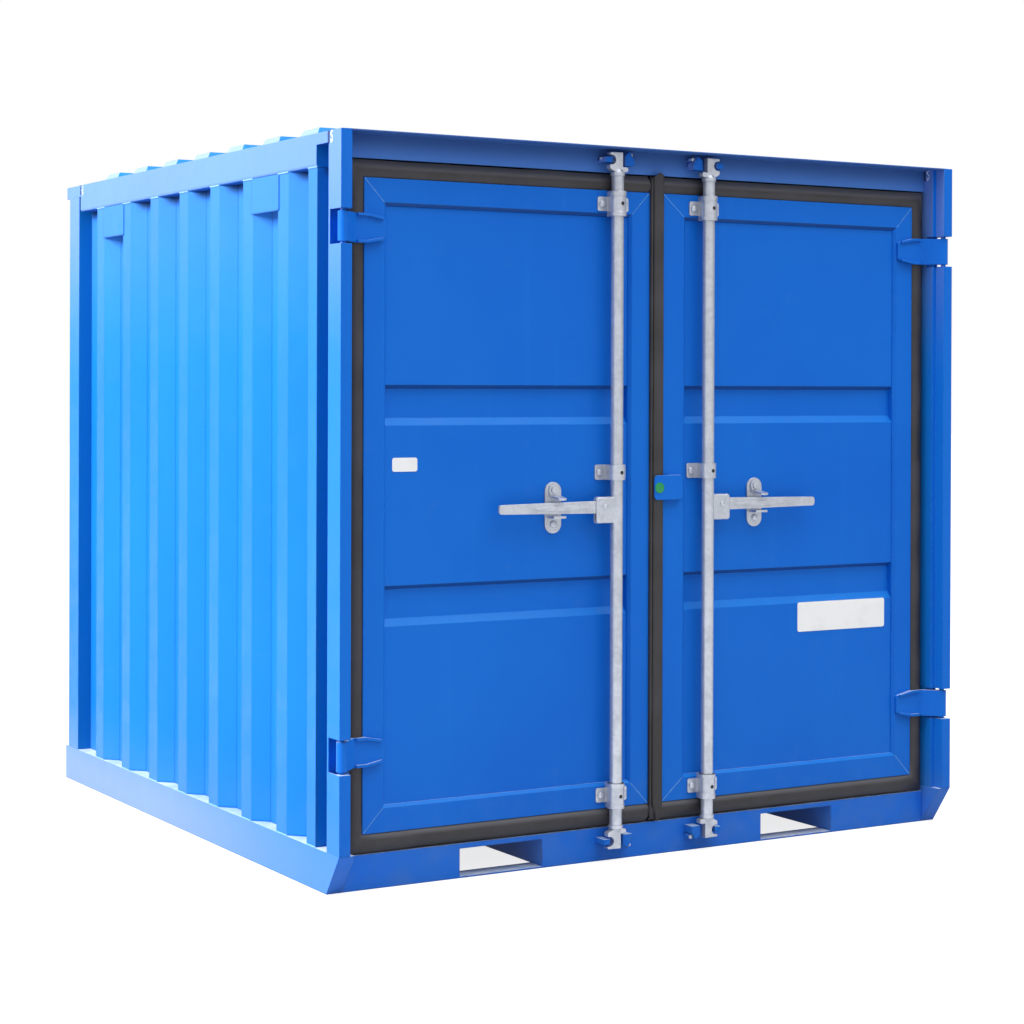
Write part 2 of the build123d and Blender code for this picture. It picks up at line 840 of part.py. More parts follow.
# Handles: a tapered lever in the hub, with a pressed rib along its middle
with BuildPart() as handle:
    slot = handle_thickness / 2
    with BuildSketch(Plane.XZ.offset(-(bar_y + slot))) as lever:
        with BuildLine():
            Polyline(
                (-handle_start, handle_middle - handle_half(handle_start)),
                (-handle_start, handle_middle + handle_half(handle_start)),
                (-handle_end, handle_middle + handle_half(handle_end)),
                (-handle_end, handle_middle - handle_half(handle_end)),
                close=True,
            )
        make_face()
        fillet(lever.vertices().group_by(Axis.X)[0], handle_tip_round)
    extrude(amount=handle_thickness)
    with BuildSketch(Plane.XZ.offset(-(bar_y - slot))):
        with BuildLine():
            rib_middle = bar_offset + (handle_rib_near + handle_rib_far) / 2
            start = (-bar_offset - handle_rib_near, handle_middle)
            end = (-bar_offset - handle_rib_far, handle_middle)
            ThreePointArc(start, (-rib_middle, handle_middle + handle_rib_half), end)
            ThreePointArc(end, (-rib_middle, handle_middle - handle_rib_half), start)
        make_face()
    extrude(amount=handle_rib_thickness)
save_pair(handle, "bar_handle")

# Handle retainers: a round-ended plate with a shelf under the handle and the catch's bolt
with BuildPart() as retainer:
    with BuildSketch(Plane.XZ.offset(-panel_face)):
        with Locations((-retainer_middle, retainer_low + retainer_height / 2)):
            SlotOverall(retainer_height, 2 * retainer_half_width, rotation=90)
    extrude(amount=retainer_thickness)
    shelf_top = handle_middle - handle_half(retainer_middle - shelf_width / 2) - shelf_gap
    block(
        (-retainer_middle - shelf_width / 2, bar_y - handle_thickness / 2, shelf_top - shelf_thickness),
        (-retainer_middle + shelf_width / 2, retainer_face, shelf_top),
    )
    with BuildSketch(Plane.XZ.offset(-retainer_face)):
        with Locations((-retainer_middle, catch_pivot_z)):
            Circle(retainer_bolt_radius)
    bolt_length = catch_thickness + 2 * catch_play
    extrude(amount=bolt_length)
    with BuildSketch(Plane.XZ.offset(-(retainer_face - bolt_length))):
        with Locations((-retainer_middle, catch_pivot_z)):
            Circle(retainer_bolt_head_radius)
    extrude(amount=retainer_bolt_head)
save_pair(retainer, "handle_retainer")

# Handle catches: an eye on the bolt and a tapered tongue that slopes forward over the handle
with BuildPart() as catch:
    tongue_low = handle_middle + handle_half(retainer_middle - catch_tab_half) + catch_tab_gap
    tongue_back = catch_face + catch_thickness
    root_low = tongue_low + catch_tab_rise
    with BuildSketch(Plane.XZ.offset(-tongue_back)):
        with Locations((-retainer_middle, catch_pivot_z)):
            Circle(catch_eye_radius)
        with Locations((-retainer_middle, (catch_pivot_z + root_low) / 2)):
            Rectangle(2 * catch_tab_half, catch_pivot_z - root_low)
        with Locations((-retainer_middle, catch_pivot_z)):
            Circle(retainer_bolt_radius + catch_play, mode=Mode.SUBTRACT)
    extrude(amount=catch_thickness)
    with BuildSketch(Plane.YZ.offset(-retainer_middle - catch_tab_half)):
        with BuildLine():
            Polyline(
                (tongue_back, root_low),
                (tongue_back, root_low + catch_tab_thickness),
                (catch_face, root_low + catch_tab_thickness),
                (catch_face - catch_tab_reach, tongue_low + catch_tab_thickness),
                (catch_face - catch_tab_reach, tongue_low),
                close=True,
            )
        make_face()
    extrude(amount=2 * catch_tab_half)
    tongue_tip = catch.edges().filter_by(Axis.Z).group_by(Axis.Y)[0]
    chamfer(tongue_tip, catch_tab_chamfer)
save_pair(catch, "handle_catch")

# Closing flap: a plate on the right door that covers the middle seal
with BuildPart() as closing_flap:
    plate_back = door_face - flap_foot
    with BuildSketch(Plane.XZ.offset(-plate_back)):
        with Locations(((flap_edge - seal_strip_half) / 2, flap_low + flap_height / 2)):
            RectangleRounded(flap_edge + seal_strip_half, flap_height, flap_round)
    extrude(amount=flap_plate)
    block((flap_foot_edge, plate_back, flap_low), (flap_edge, door_face, flap_low + flap_height))
save(closing_flap, "closing_flap")
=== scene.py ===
"""Small blue steel storage container: finishes, rubber seals, fasteners, seams and studio.

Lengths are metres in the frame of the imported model: X along the front, Y to the rear, Z up.
Outlines of rubber sections are in millimetres.
"""
from __future__ import annotations

import json
import logging
import math
import random
from dataclasses import dataclass, replace
from enum import Enum
from typing import Iterable, Mapping, Sequence, Union

import bmesh
import bpy
from mathutils import Matrix, Vector

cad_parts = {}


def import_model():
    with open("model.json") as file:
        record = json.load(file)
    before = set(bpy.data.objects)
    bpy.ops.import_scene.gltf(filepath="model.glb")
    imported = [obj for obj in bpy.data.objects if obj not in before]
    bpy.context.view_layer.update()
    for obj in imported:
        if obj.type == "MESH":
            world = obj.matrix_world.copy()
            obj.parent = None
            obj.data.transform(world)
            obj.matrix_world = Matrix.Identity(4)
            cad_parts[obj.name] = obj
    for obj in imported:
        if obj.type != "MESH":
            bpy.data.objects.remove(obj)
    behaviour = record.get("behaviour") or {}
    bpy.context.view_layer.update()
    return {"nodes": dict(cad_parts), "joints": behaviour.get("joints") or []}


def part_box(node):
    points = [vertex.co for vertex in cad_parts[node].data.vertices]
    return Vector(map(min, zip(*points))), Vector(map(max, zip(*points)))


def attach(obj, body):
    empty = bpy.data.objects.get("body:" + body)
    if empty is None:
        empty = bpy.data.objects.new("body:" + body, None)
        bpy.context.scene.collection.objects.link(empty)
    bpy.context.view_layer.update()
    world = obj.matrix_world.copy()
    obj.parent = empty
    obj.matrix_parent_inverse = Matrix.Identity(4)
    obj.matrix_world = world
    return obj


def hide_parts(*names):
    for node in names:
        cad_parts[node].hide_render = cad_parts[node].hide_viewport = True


LOG = logging.getLogger("container")
MM = 0.001
TOUCH = 1e-5
NEAR = 1e-4
NEAR_DIGITS = 4
Colour = tuple[float, float, float]
Place = tuple[float, float, float]
Point = tuple[float, float]
Socket = bpy.types.NodeSocket
Amount = Union[Socket, float]
Tone = Union[Socket, Colour]
Axes = Mapping[str, Socket]


class Slot(Enum):
    """The record's material slots that the new pieces use."""

    PAINT = "blue_paint"
    STEEL = "galvanised"
    RUBBER = "seal_rubber"


class Hand(Enum):
    """Left or right door, seen from the front, with the sign of its X."""

    LEFT = -1
    RIGHT = 1

    @property
    def word(self) -> str:
        """The hand as it ends a node's name."""
        return self.name.lower()


class NodeGraph:
    """A node tree with short calls that add nodes and join their sockets."""

    MIX_FACTOR = 0
    MIX_COLOURS = (6, 7)
    MIX_RESULT = 2
    EDGE_SAMPLES = 6
    EDGE_LIKENESS = (0.995, 0.85)

    def __init__(self, tree: bpy.types.NodeTree) -> None:
        """Empty the tree.

        Args:
            tree: The node tree of a material or a world.
        """
        self.tree = tree
        self.tree.nodes.clear()

    def add(self, kind: str, inputs: dict | None = None, **settings: object) -> bpy.types.Node:
        """Add a node.

        Args:
            kind: The node's type without the word ShaderNode.
            inputs: Values or output sockets by input name or number.
            settings: Properties of the node itself.

        Returns:
            The new node.
        """
        node = self.tree.nodes.new("ShaderNode" + kind)
        for name, value in settings.items():
            setattr(node, name, value)
        for key, value in (inputs or {}).items():
            if isinstance(value, Socket):
                self.tree.links.new(value, node.inputs[key])
            else:
                node.inputs[key].default_value = value
        return node

    def coordinates(self) -> Socket:
        """Object coordinates, which are the frame's own metres."""
        return self.add("TexCoord").outputs["Object"]

    def axes(self, vector: Socket) -> Axes:
        """The X, Y and Z of a vector, by name."""
        return self.add("SeparateXYZ", {0: vector}).outputs

    def facing(self, normal: str) -> Axes:
        """The X, Y and Z of one of the surface's normals, by name."""
        return self.axes(self.add("NewGeometry").outputs[normal])

    def stretched(self, vector: Socket, scale: Sequence[float]) -> Socket:
        """Scale coordinates by axis.

        Args:
            vector: The coordinates.
            scale: A factor for each axis.

        Returns:
            The scaled coordinates.
        """
        return self.add("Mapping", {"Vector": vector, "Scale": scale}).outputs["Vector"]

    def noise(self, vector: Socket, scale: float, detail: float = 3.0) -> Socket:
        """Soft noise.

        Args:
            vector: The coordinates.
            scale: Features per metre.
            detail: Octaves.

        Returns:
            The noise from 0 to 1.
        """
        node = self.add("TexNoise", {"Vector": vector, "Scale": scale, "Detail": detail})
        return node.outputs[0]

    def ramp(
        self, value: Socket, low: float, high: float, to_low: float = 0.0, to_high: float = 1.0
    ) -> Socket:
        """Map a value smoothly between two ends.

        Args:
            value: The socket to map.
            low: Where the result is to_low.
            high: Where the result is to_high.
            to_low: The first result.
            to_high: The second result.

        Returns:
            The mapped value.
        """
        ends = {"Value": value, "From Min": low, "From Max": high, "To Min": to_low, "To Max": to_high}
        return self.add("MapRange", ends, interpolation_type="SMOOTHSTEP").outputs["Result"]

    def math(self, operation: str, first: Amount, second: Amount) -> Socket:
        """Join two values with an arithmetic operation."""
        return self.add("Math", {0: first, 1: second}, operation=operation).outputs[0]

    def size(self, value: Amount) -> Socket:
        """A value without its sign."""
        return self.math("ABSOLUTE", value, 0.0)

    def product(self, first: Amount, *others: Amount) -> Amount:
        """Multiply values.

        Args:
            first: The first value.
            others: What it is multiplied by.

        Returns:
            The product.
        """
        for other in others:
            first = self.math("MULTIPLY", first, other)
        return first

    def mix(self, factor: Amount, first: Tone, second: Tone) -> Socket:
        """Mix two colours.

        Args:
            factor: The share of the second colour.
            first: A colour or a socket.
            second: A colour or a socket.

        Returns:
            The mixed colour.
        """
        node = self.add("Mix", {self.MIX_FACTOR: factor}, data_type="RGBA")
        for index, value in zip(self.MIX_COLOURS, (first, second)):
            if isinstance(value, Socket):
                self.tree.links.new(value, node.inputs[index])
            else:
                node.inputs[index].default_value = (*value, 1.0)
        return node.outputs[self.MIX_RESULT]

    def bump(self, height: Socket, distance: float, normal: Socket | None = None) -> Socket:
        """Turn a height into a bent normal.

        Args:
            height: The height from 0 to 1.
            distance: The depth of the relief in metres.
            normal: A normal to start from.

        Returns:
            The bent normal.
        """
        inputs = {"Height": height, "Distance": distance, "Strength": 1.0}
        if normal is not None:
            inputs["Normal"] = normal
        return self.add("Bump", inputs).outputs["Normal"]

    def edges(self, radius: float) -> tuple[Socket, Socket]:
        """Soften sharp edges.

        Args:
            radius: The width of the softened edge in metres.

        Returns:
            The softened normal and a mask that is 1 along the edges.
        """
        soft = self.add("Bevel", {"Radius": radius}, samples=self.EDGE_SAMPLES).outputs["Normal"]
        flat = self.add("NewGeometry").outputs["Normal"]
        likeness = self.add("VectorMath", {0: soft, 1: flat}, operation="DOT_PRODUCT").outputs["Value"]
        return soft, self.ramp(likeness, *self.EDGE_LIKENESS)

    def surface(self, **sockets: object) -> None:
        """Finish the tree with a principled shader.

        Args:
            sockets: Values or sockets by input name, with _ for a space.
        """
        inputs = {name.replace("_", " "): value for name, value in sockets.items()}
        shader = self.add("BsdfPrincipled", inputs)
        self.add("OutputMaterial", {"Surface": shader.outputs["BSDF"]})


@dataclass(frozen=True)
class Finish:
    """A named finish that makes its own material.

    In every finish a share is how much of a tone shows at most. Of the values in capitals, a noise
    has its features per metre and its octaves, SCALES are factors by axis, and other groups of
    numbers say where a ramp starts and ends, with its first and last value if they are not 0 and 1.

    Attributes:
        name: The material's name.
    """

    name: str

    def material(self) -> bpy.types.Material:
        """Make the material, or give the one already made.

        Returns:
            The material.
        """
        made = bpy.data.materials.get(self.name)
        if made is None:
            made = bpy.data.materials.new(self.name)
            made.use_nodes = True
            self.paint(NodeGraph(made.node_tree))
        return made

    def paint(self, graph: NodeGraph) -> None:
        """Fill the material's nodes.

        Args:
            graph: The empty graph.
        """
        raise NotImplementedError


@dataclass(frozen=True)
class PaintFinish(Finish):
    """Satin blue enamel over steel, with dust, rubbed edges and a little rust low down, and with painted
    light, sheen, highlights and shade.

    Attributes:
        colour: The paint itself.
        pale: Its clouds and streaks.
        dust: Dust in patches and near the ground.
        bleached: A painted sheen at the top and the foot of the side towards the key lamp.
        worn: Rubbed edges, paler still as a painted highlight.
        faded: Painted light on the faces towards the key lamp and on the ledges.
        settled: Dust on level faces, with painted light from above.
        rust: Edges near the ground.
        soot: Painted shade below a lip and on undersides, and the dark of the open joints.
        shade: Painted shade on faces that look to the front from between other pieces.
        spatter: Weld splashes beside the open joints, painted pale as glints.
        chip_share: The share of the rubbed and highlighted edge tone.
        bleach_share: The share of the painted sheen.
        faded_share: The share of the painted light on upright faces towards the key lamp.
        slope_share: How much more painted light the slanted faces towards the key lamp have.
        ledge_share: The share of the painted light on ledges.
        settled_share: The share of that dust and painted light.
        soot_share: The share of painted shade below a lip.
        soot_low: The height at which that shade starts.
        soot_high: The height at which it is full.
        recess_share: The share of that painted shade.
        under_share: The share of painted shade on undersides.
        under_from: The Z of the normal at which a face starts to be an underside.
        joint_share: The share of the open joints' dark lines and painted glints.
        joints: The Y of the two open joints.
        joint_low: The height at which the joints start.
        grime_height: How high the ground's dust reaches.
        grime_share: The share of the ground's dust.
        ripple: The sheet's waviness in metres.
        roughness: The mean roughness.
        edge_radius: The radius of the softened edges.
    """

    colour: Colour = (0.0035, 0.134, 0.63)
    pale: Colour = (0.008, 0.180, 0.71)
    dust: Colour = (0.16, 0.26, 0.44)
    bleached: Colour = (0.40, 0.42, 0.76)
    worn: Colour = (0.08, 0.38, 0.88)
    faded: Colour = (0.03, 0.56, 0.92)
    settled: Colour = (0.68, 0.73, 0.82)
    rust: Colour = (0.115, 0.045, 0.022)
    soot: Colour = (0.010, 0.018, 0.055)
    shade: Colour = (0.003, 0.150, 0.40)
    spatter: Colour = (0.80, 0.86, 0.92)
    chip_share: float = 0.30
    bleach_share: float = 0.30
    faded_share: float = 0.08
    slope_share: float = 0.10
    ledge_share: float = 0.26
    settled_share: float = 0.70
    soot_share: float = 0.0
    soot_low: float = 1.815
    soot_high: float = 1.875
    recess_share: float = 0.0
    under_share: float = 0.50
    under_from: float = -0.80
    joint_share: float = 0.0
    joints: Point = (-0.920, 0.865)
    joint_low: float = 1.847
    grime_height: float = 0.30
    grime_share: float = 0.12
    ripple: float = 0.0012
    roughness: float = 0.42
    edge_radius: float = 0.0035

    # How a face has to look, by one axis of its normal
    SUNNY = (0.50, 0.64)
    SLANTED = (0.94, 0.82)
    SIDEWAYS = (0.80, 0.95)
    FRONTAL = (-0.80, -0.95)
    LEDGE = (0.40, 0.65)
    LEVEL = (0.80, 0.98)
    UNDER_SPAN = 0.15

    # Where on the container a mark lies
    TOP = (1.25, 1.88)
    FOOT = (0.30, 0.02)
    FOOT_TO_REAR = (-1.0, 0.3, 0.15, 0.7)
    BEHIND_LIP = (0.966, 0.940)
    NEAR_GROUND = (0.11, 0.02)
    JOINT_START = 0.006
    JOINT_LINE = (0.0080, 0.0045)
    SPATTER_AHEAD = 0.015

    # Noises, and how they turn into marks
    CLOUD = (1.7, 4.0)
    MOTTLE = (14.0, 5.0)
    STREAK = (1.0, 4.0)
    STREAK_SCALES = (24.0, 24.0, 0.9)
    GRAIN = (95.0, 4.0)
    FLECK = (130.0, 2.0)
    WAVE = (3.2, 2.0)
    PEEL = (420.0, 2.0)
    CLOUDS = (0.30, 0.72, 0.0, 0.45)
    STREAKS = (0.55, 0.80, 0.0, 0.22)
    DUST_SPOTS = (0.60, 0.85, 0.0, 0.06)
    GROUND_SPOTS = (0.35, 0.70)
    CHIPS = (0.52, 0.60)
    RUST_SPOTS = (0.50, 0.62)
    FLECKS = (0.47, 0.55)
    FILM_PATCHES = (0.25, 0.65)
    FILM_LEAST_SHARE = 0.6
    GLOSS_PATCHES = (0.25, 0.75)
    GLOSSIER = 0.06
    DULLER = 0.08
    RIPPLE_GAIN = 4.0
    PEEL_DEPTH = 0.00012
    SPECULAR = 0.15

    def sun_marks(self, graph: NodeGraph, tone: Tone, where: Axes, facing: Axes) -> Socket:
        """Paint light on the faces towards the key lamp and on the ledges, and a pale sheen on that side's
        top and foot.

        Args:
            graph: The material's graph.
            tone: The paint's colour so far.
            where: The coordinates by axis.
            facing: The face's normal by axis.

        Returns:
            The colour with painted light and sheen.
        """
        # Painted light: faces towards the key lamp, more so when slanted, and ledges get a paler tone.
        sunward = graph.product(facing["X"], -1.0)
        sunny = graph.ramp(sunward, *self.SUNNY)
        sunlit = graph.ramp(sunward, *self.SLANTED, self.faded_share, self.faded_share + self.slope_share)
        ledge = graph.ramp(facing["Z"], *self.LEDGE, 0.0, self.ledge_share)
        tone = graph.mix(graph.math("MAXIMUM", graph.product(sunlit, sunny), ledge), tone, self.faded)
        # Painted sheen: the top and the foot of the side towards the key lamp turn pale.
        top = graph.ramp(where["Z"], *self.TOP)
        foot = graph.product(graph.ramp(where["Z"], *self.FOOT), graph.ramp(where["Y"], *self.FOOT_TO_REAR))
        sheen = graph.product(graph.math("ADD", top, foot), self.bleach_share, sunny)
        return graph.mix(sheen, tone, self.bleached)

    def shelter_marks(self, graph: NodeGraph, tone: Tone, where: Axes, facing: Axes) -> Socket:
        """Paint shade into the recesses, below a lip and on what faces down.

        Args:
            graph: The material's graph.
            tone: The paint's colour so far.
            where: The coordinates by axis.
            facing: The face's normal by axis.

        Returns:
            The colour with painted shade.
        """
        # Painted shade on faces that look to the front.
        recess = graph.ramp(facing["Y"], *self.FRONTAL, 0.0, self.recess_share)
        tone = graph.mix(recess, tone, self.shade)
        # Painted shade below a lip, deepest in the recesses, and on faces that look down.
        inward = graph.ramp(graph.size(where["X"]), *self.BEHIND_LIP)
        lip_shade = graph.ramp(where["Z"], self.soot_low, self.soot_high, 0.0, self.soot_share)
        full_under = self.under_from - self.UNDER_SPAN
        under = graph.ramp(facing["Z"], self.under_from, full_under, 0.0, self.under_share)
        return graph.mix(graph.math("MAXIMUM", graph.product(lip_shade, inward), under), tone, self.soot)

    def joint_marks(self, graph: NodeGraph, tone: Tone, where: Axes, facing: Axes) -> Socket:
        """Draw the open joints at the top rails' ends as dark lines, with painted glints of weld splashes
        in front of each.

        Args:
            graph: The material's graph.
            tone: The paint's colour so far.
            where: The coordinates by axis.
            facing: The face's normal by axis.

        Returns:
            The marked colour.
        """
        outer = graph.ramp(graph.size(facing["X"]), *self.SIDEWAYS)
        above = graph.ramp(where["Z"], self.joint_low, self.joint_low + self.JOINT_START)
        side_view = graph.add("CombineXYZ", {"Y": where["Y"], "Z": where["Z"]}).outputs[0]
        fleck = graph.noise(side_view, *self.FLECK)
        # The dark lines are the open joints; the pale flecks just ahead of them are painted glints.
        for ahead, colour, amount in (
            (0.0, self.soot, self.joint_share),
            (self.SPATTER_AHEAD, self.spatter, graph.ramp(fleck, *self.FLECKS, 0.0, self.joint_share)),
        ):
            away = [graph.size(graph.math("SUBTRACT", where["Y"], joint - ahead)) for joint in self.joints]
            line = graph.ramp(graph.math("MINIMUM", *away), *self.JOINT_LINE)
            tone = graph.mix(graph.product(line, above, outer, amount), tone, colour)
        return tone

    def settled_dust(self, graph: NodeGraph, tone: Tone, facing: Axes, mottle: Socket) -> Socket:
        """Make level faces pale with dust and painted light from above.

        Args:
            graph: The material's graph.
            tone: The paint's colour so far.
            facing: The face's normal by axis.
            mottle: Noise that breaks it into patches.

        Returns:
            The paler colour.
        """
        # Level faces turn pale: dust, and painted light from above.
        level = graph.ramp(facing["Z"], *self.LEVEL)
        least = self.settled_share * self.FILM_LEAST_SHARE
        film = graph.ramp(mottle, *self.FILM_PATCHES, least, self.settled_share)
        return graph.mix(graph.product(level, film), tone, self.settled)

    def paint(self, graph: NodeGraph) -> None:
        """Fill the nodes of the enamel.

        Args:
            graph: The empty graph.
        """
        place = graph.coordinates()
        where = graph.axes(place)
        facing = graph.facing("True Normal")
        soft, edge = graph.edges(self.edge_radius)
        cloud = graph.noise(place, *self.CLOUD)
        mottle = graph.noise(place, *self.MOTTLE)
        streak = graph.noise(graph.stretched(place, self.STREAK_SCALES), *self.STREAK)
        grain = graph.noise(place, *self.GRAIN)
        tone = graph.mix(graph.ramp(cloud, *self.CLOUDS), self.colour, self.pale)
        tone = graph.mix(graph.ramp(streak, *self.STREAKS), tone, self.pale)
        tone = graph.mix(graph.ramp(mottle, *self.DUST_SPOTS), tone, self.dust)
        low = graph.ramp(where["Z"], self.grime_height, 0.0, 0.0, self.grime_share)
        tone = graph.mix(graph.product(low, graph.ramp(mottle, *self.GROUND_SPOTS)), tone, self.dust)
        # Edges turn paler in spots: rubbed paint, and a painted highlight along them.
        edge_spots = graph.ramp(grain, *self.CHIPS, 0.0, self.chip_share)
        tone = graph.mix(graph.product(edge, edge_spots), tone, self.worn)
        tone = self.sun_marks(graph, tone, where, facing)
        tone = self.shelter_marks(graph, tone, where, facing)
        if self.joint_share:
            tone = self.joint_marks(graph, tone, where, facing)
        tone = self.settled_dust(graph, tone, facing, mottle)
        near_ground = graph.ramp(where["Z"], *self.NEAR_GROUND)
        rusty = graph.product(edge, graph.ramp(grain, *self.RUST_SPOTS), near_ground)
        tone = graph.mix(rusty, tone, self.rust)
        gloss = (self.roughness - self.GLOSSIER, self.roughness + self.DULLER)
        rough = graph.ramp(mottle, *self.GLOSS_PATCHES, *gloss)
        waves = graph.bump(graph.noise(place, *self.WAVE), self.ripple * self.RIPPLE_GAIN, soft)
        peel = graph.bump(graph.noise(place, *self.PEEL), self.PEEL_DEPTH, waves)
        graph.surface(Base_Color=tone, Roughness=rough, Normal=peel, Specular_IOR_Level=self.SPECULAR)


@dataclass(frozen=True)
class GalvanisedFinish(Finish):
    """Hot-dipped zinc: pale, mottled and softly bright.

    Attributes:
        dark: The darker crystals.
        light: The lighter crystals and the edges.
        spangle: Crystals per metre.
        cell_share: How much single crystals count against the clouds between them.
        edge_share: The share of the light tone along the edges.
        edge_radius: The radius of the softened edges.
        metallic: How far the zinc shines as a bare metal.
        relief: The depth of its grain in metres.
    """

    dark: Colour = (0.42, 0.45, 0.51)
    light: Colour = (0.55, 0.58, 0.65)
    spangle: float = 110.0
    cell_share: float = 0.2
    edge_share: float = 0.5
    edge_radius: float = 0.0022
    metallic: float = 0.5
    relief: float = 0.00008

    CLOUD = (22.0, 5.0)
    GRAIN = (160.0, 3.0)
    TONES = (0.25, 0.75)
    GLOSS = (0.2, 0.8, 0.38, 0.28)

    def paint(self, graph: NodeGraph) -> None:
        """Fill the nodes of the zinc.

        Args:
            graph: The empty graph.
        """
        place = graph.coordinates()
        soft, edge = graph.edges(self.edge_radius)
        cells = graph.add("TexVoronoi", {"Vector": place, "Scale": self.spangle}).outputs["Color"]
        cell = graph.product(graph.add("SeparateColor", {0: cells}).outputs[0], self.cell_share)
        cloud = graph.product(graph.noise(place, *self.CLOUD), 1.0 - self.cell_share)
        amount = graph.math("ADD", cell, cloud)
        tone = graph.mix(graph.ramp(amount, *self.TONES), self.dark, self.light)
        tone = graph.mix(graph.product(edge, self.edge_share), tone, self.light)
        rough = graph.ramp(amount, *self.GLOSS)
        grain = graph.bump(graph.noise(place, *self.GRAIN), self.relief, soft)
        graph.surface(Base_Color=tone, Metallic=self.metallic, Roughness=rough, Normal=grain)


@dataclass(frozen=True)
class RubberFinish(Finish):
    """Black seal rubber, dusty grey where it is rubbed, and painted lighter where it faces up.

    Attributes:
        dark: The rubber itself.
        dusty: Its clouds and scuffs.
        film: Painted light from above on what faces up.
        relief: The depth of its grain in metres.
    """

    dark: Colour = (0.020, 0.019, 0.022)
    dusty: Colour = (0.044, 0.043, 0.050)
    film: Colour = (0.100, 0.100, 0.112)
    relief: float = 0.0002

    CLOUD = (9.0, 5.0)
    SCUFF = (1.0, 4.0)
    SCUFF_SCALES = (5.0, 40.0, 160.0)
    GRAIN = (260.0, 3.0)
    CLOUDS = (0.30, 0.75)
    SCUFFS = (0.66, 0.80, 0.0, 0.35)
    UPWARD = (0.08, 0.50, 0.0, 0.75)
    GLOSS = (0.2, 0.8, 0.48, 0.70)
    SPECULAR = 0.4

    def paint(self, graph: NodeGraph) -> None:
        """Fill the nodes of the rubber.

        Args:
            graph: The empty graph.
        """
        place = graph.coordinates()
        cloud = graph.noise(place, *self.CLOUD)
        scuff = graph.noise(graph.stretched(place, self.SCUFF_SCALES), *self.SCUFF)
        tone = graph.mix(graph.ramp(cloud, *self.CLOUDS), self.dark, self.dusty)
        tone = graph.mix(graph.ramp(scuff, *self.SCUFFS), tone, self.dusty)
        # Painted light: faces that look up are lighter.
        tone = graph.mix(graph.ramp(graph.facing("Normal")["Z"], *self.UPWARD), tone, self.film)
        rough = graph.ramp(cloud, *self.GLOSS)
        grain = graph.bump(graph.noise(place, *self.GRAIN), self.relief)
        graph.surface(Base_Color=tone, Roughness=rough, Normal=grain, Specular_IOR_Level=self.SPECULAR)


@dataclass(frozen=True)
class PlywoodFinish(Finish):
    """Brown container plywood with long grain and board joints.

    Attributes:
        dark: The grain's dark lines and clouds.
        light: The wood between them.
        gap: The joint between two boards.
        board: A board's width.
        roughness: The roughness.
        relief: The depth of the grain in metres.
    """

    dark: Colour = (0.10, 0.045, 0.022)
    light: Colour = (0.24, 0.125, 0.060)
    gap: Colour = (0.012, 0.008, 0.006)
    board: float = 0.61
    roughness: float = 0.62
    relief: float = 0.0004

    GRAIN = (1.0, 6.0)
    GRAIN_SCALES = (60.0, 3.0, 60.0)
    CLOUD = (3.0, 4.0)
    LINES = (0.30, 0.70)
    CLOUDS = (0.45, 0.75, 0.0, 0.4)
    JOINT = (0.004, 0.0015)

    def paint(self, graph: NodeGraph) -> None:
        """Fill the nodes of the plywood.

        Args:
            graph: The empty graph.
        """
        place = graph.coordinates()
        grain = graph.noise(graph.stretched(place, self.GRAIN_SCALES), *self.GRAIN)
        cloud = graph.noise(place, *self.CLOUD)
        tone = graph.mix(graph.ramp(grain, *self.LINES), self.dark, self.light)
        tone = graph.mix(graph.ramp(cloud, *self.CLOUDS), tone, self.dark)
        across = graph.math("PINGPONG", graph.axes(place)["X"], self.board / 2)
        tone = graph.mix(graph.ramp(across, *self.JOINT), tone, self.gap)
        relief = graph.bump(grain, self.relief)
        graph.surface(Base_Color=tone, Roughness=self.roughness, Normal=relief)


@dataclass(frozen=True)
class EnamelFinish(Finish):
    """A small plain plate or mark in one colour, a little dusty.

    Attributes:
        colour: The plate itself.
        dust: Its dusty patches.
        roughness: The roughness.
        relief: The depth of its grain in metres.
    """

    colour: Colour = (0.85, 0.86, 0.87)
    dust: Colour = (0.55, 0.56, 0.58)
    roughness: float = 0.35
    relief: float = 0.0001

    CLOUD = (18.0, 5.0)
    GRAIN = (300.0, 2.0)
    CLOUDS = (0.5, 0.8, 0.0, 0.4)

    def paint(self, graph: NodeGraph) -> None:
        """Fill the nodes of the plate.

        Args:
            graph: The empty graph.
        """
        place = graph.coordinates()
        cloud = graph.noise(place, *self.CLOUD)
        tone = graph.mix(graph.ramp(cloud, *self.CLOUDS), self.colour, self.dust)
        grain = graph.bump(graph.noise(place, *self.GRAIN), self.relief)
        graph.surface(Base_Color=tone, Roughness=self.roughness, Normal=grain)


# Frame: dark open joints at the top rails' ends with painted glints beside them, and the painted light,
# sheen and shade that every paint has.
FRAME_PAINT = PaintFinish("frame_paint", ripple=0.0004, joint_share=0.85)
# The header's copy of the paint is greyer, partly dust and partly painted shade and reflection under the
# lip, with painted shade below the lip.
HEADER_PAINT = PaintFinish(
    "header_paint",
    colour=(0.078, 0.235, 0.72),
    pale=(0.092, 0.270, 0.76),
    ripple=0.0004,
    soot_share=0.50,
    settled_share=0.30,
)
# Top rails and rear posts: also painted shade on faces that look to the front.
RAIL_PAINT = replace(FRAME_PAINT, name="rail_paint", recess_share=0.9)
# Roof: a strong painted sheen on faces towards the key lamp, more painted light on ledges, and a little
# dust and painted top light.
ROOF_PAINT = PaintFinish(
    "roof_paint",
    chip_share=0.0,
    bleach_share=0.55,
    settled_share=0.16,
    ledge_share=0.40,
)
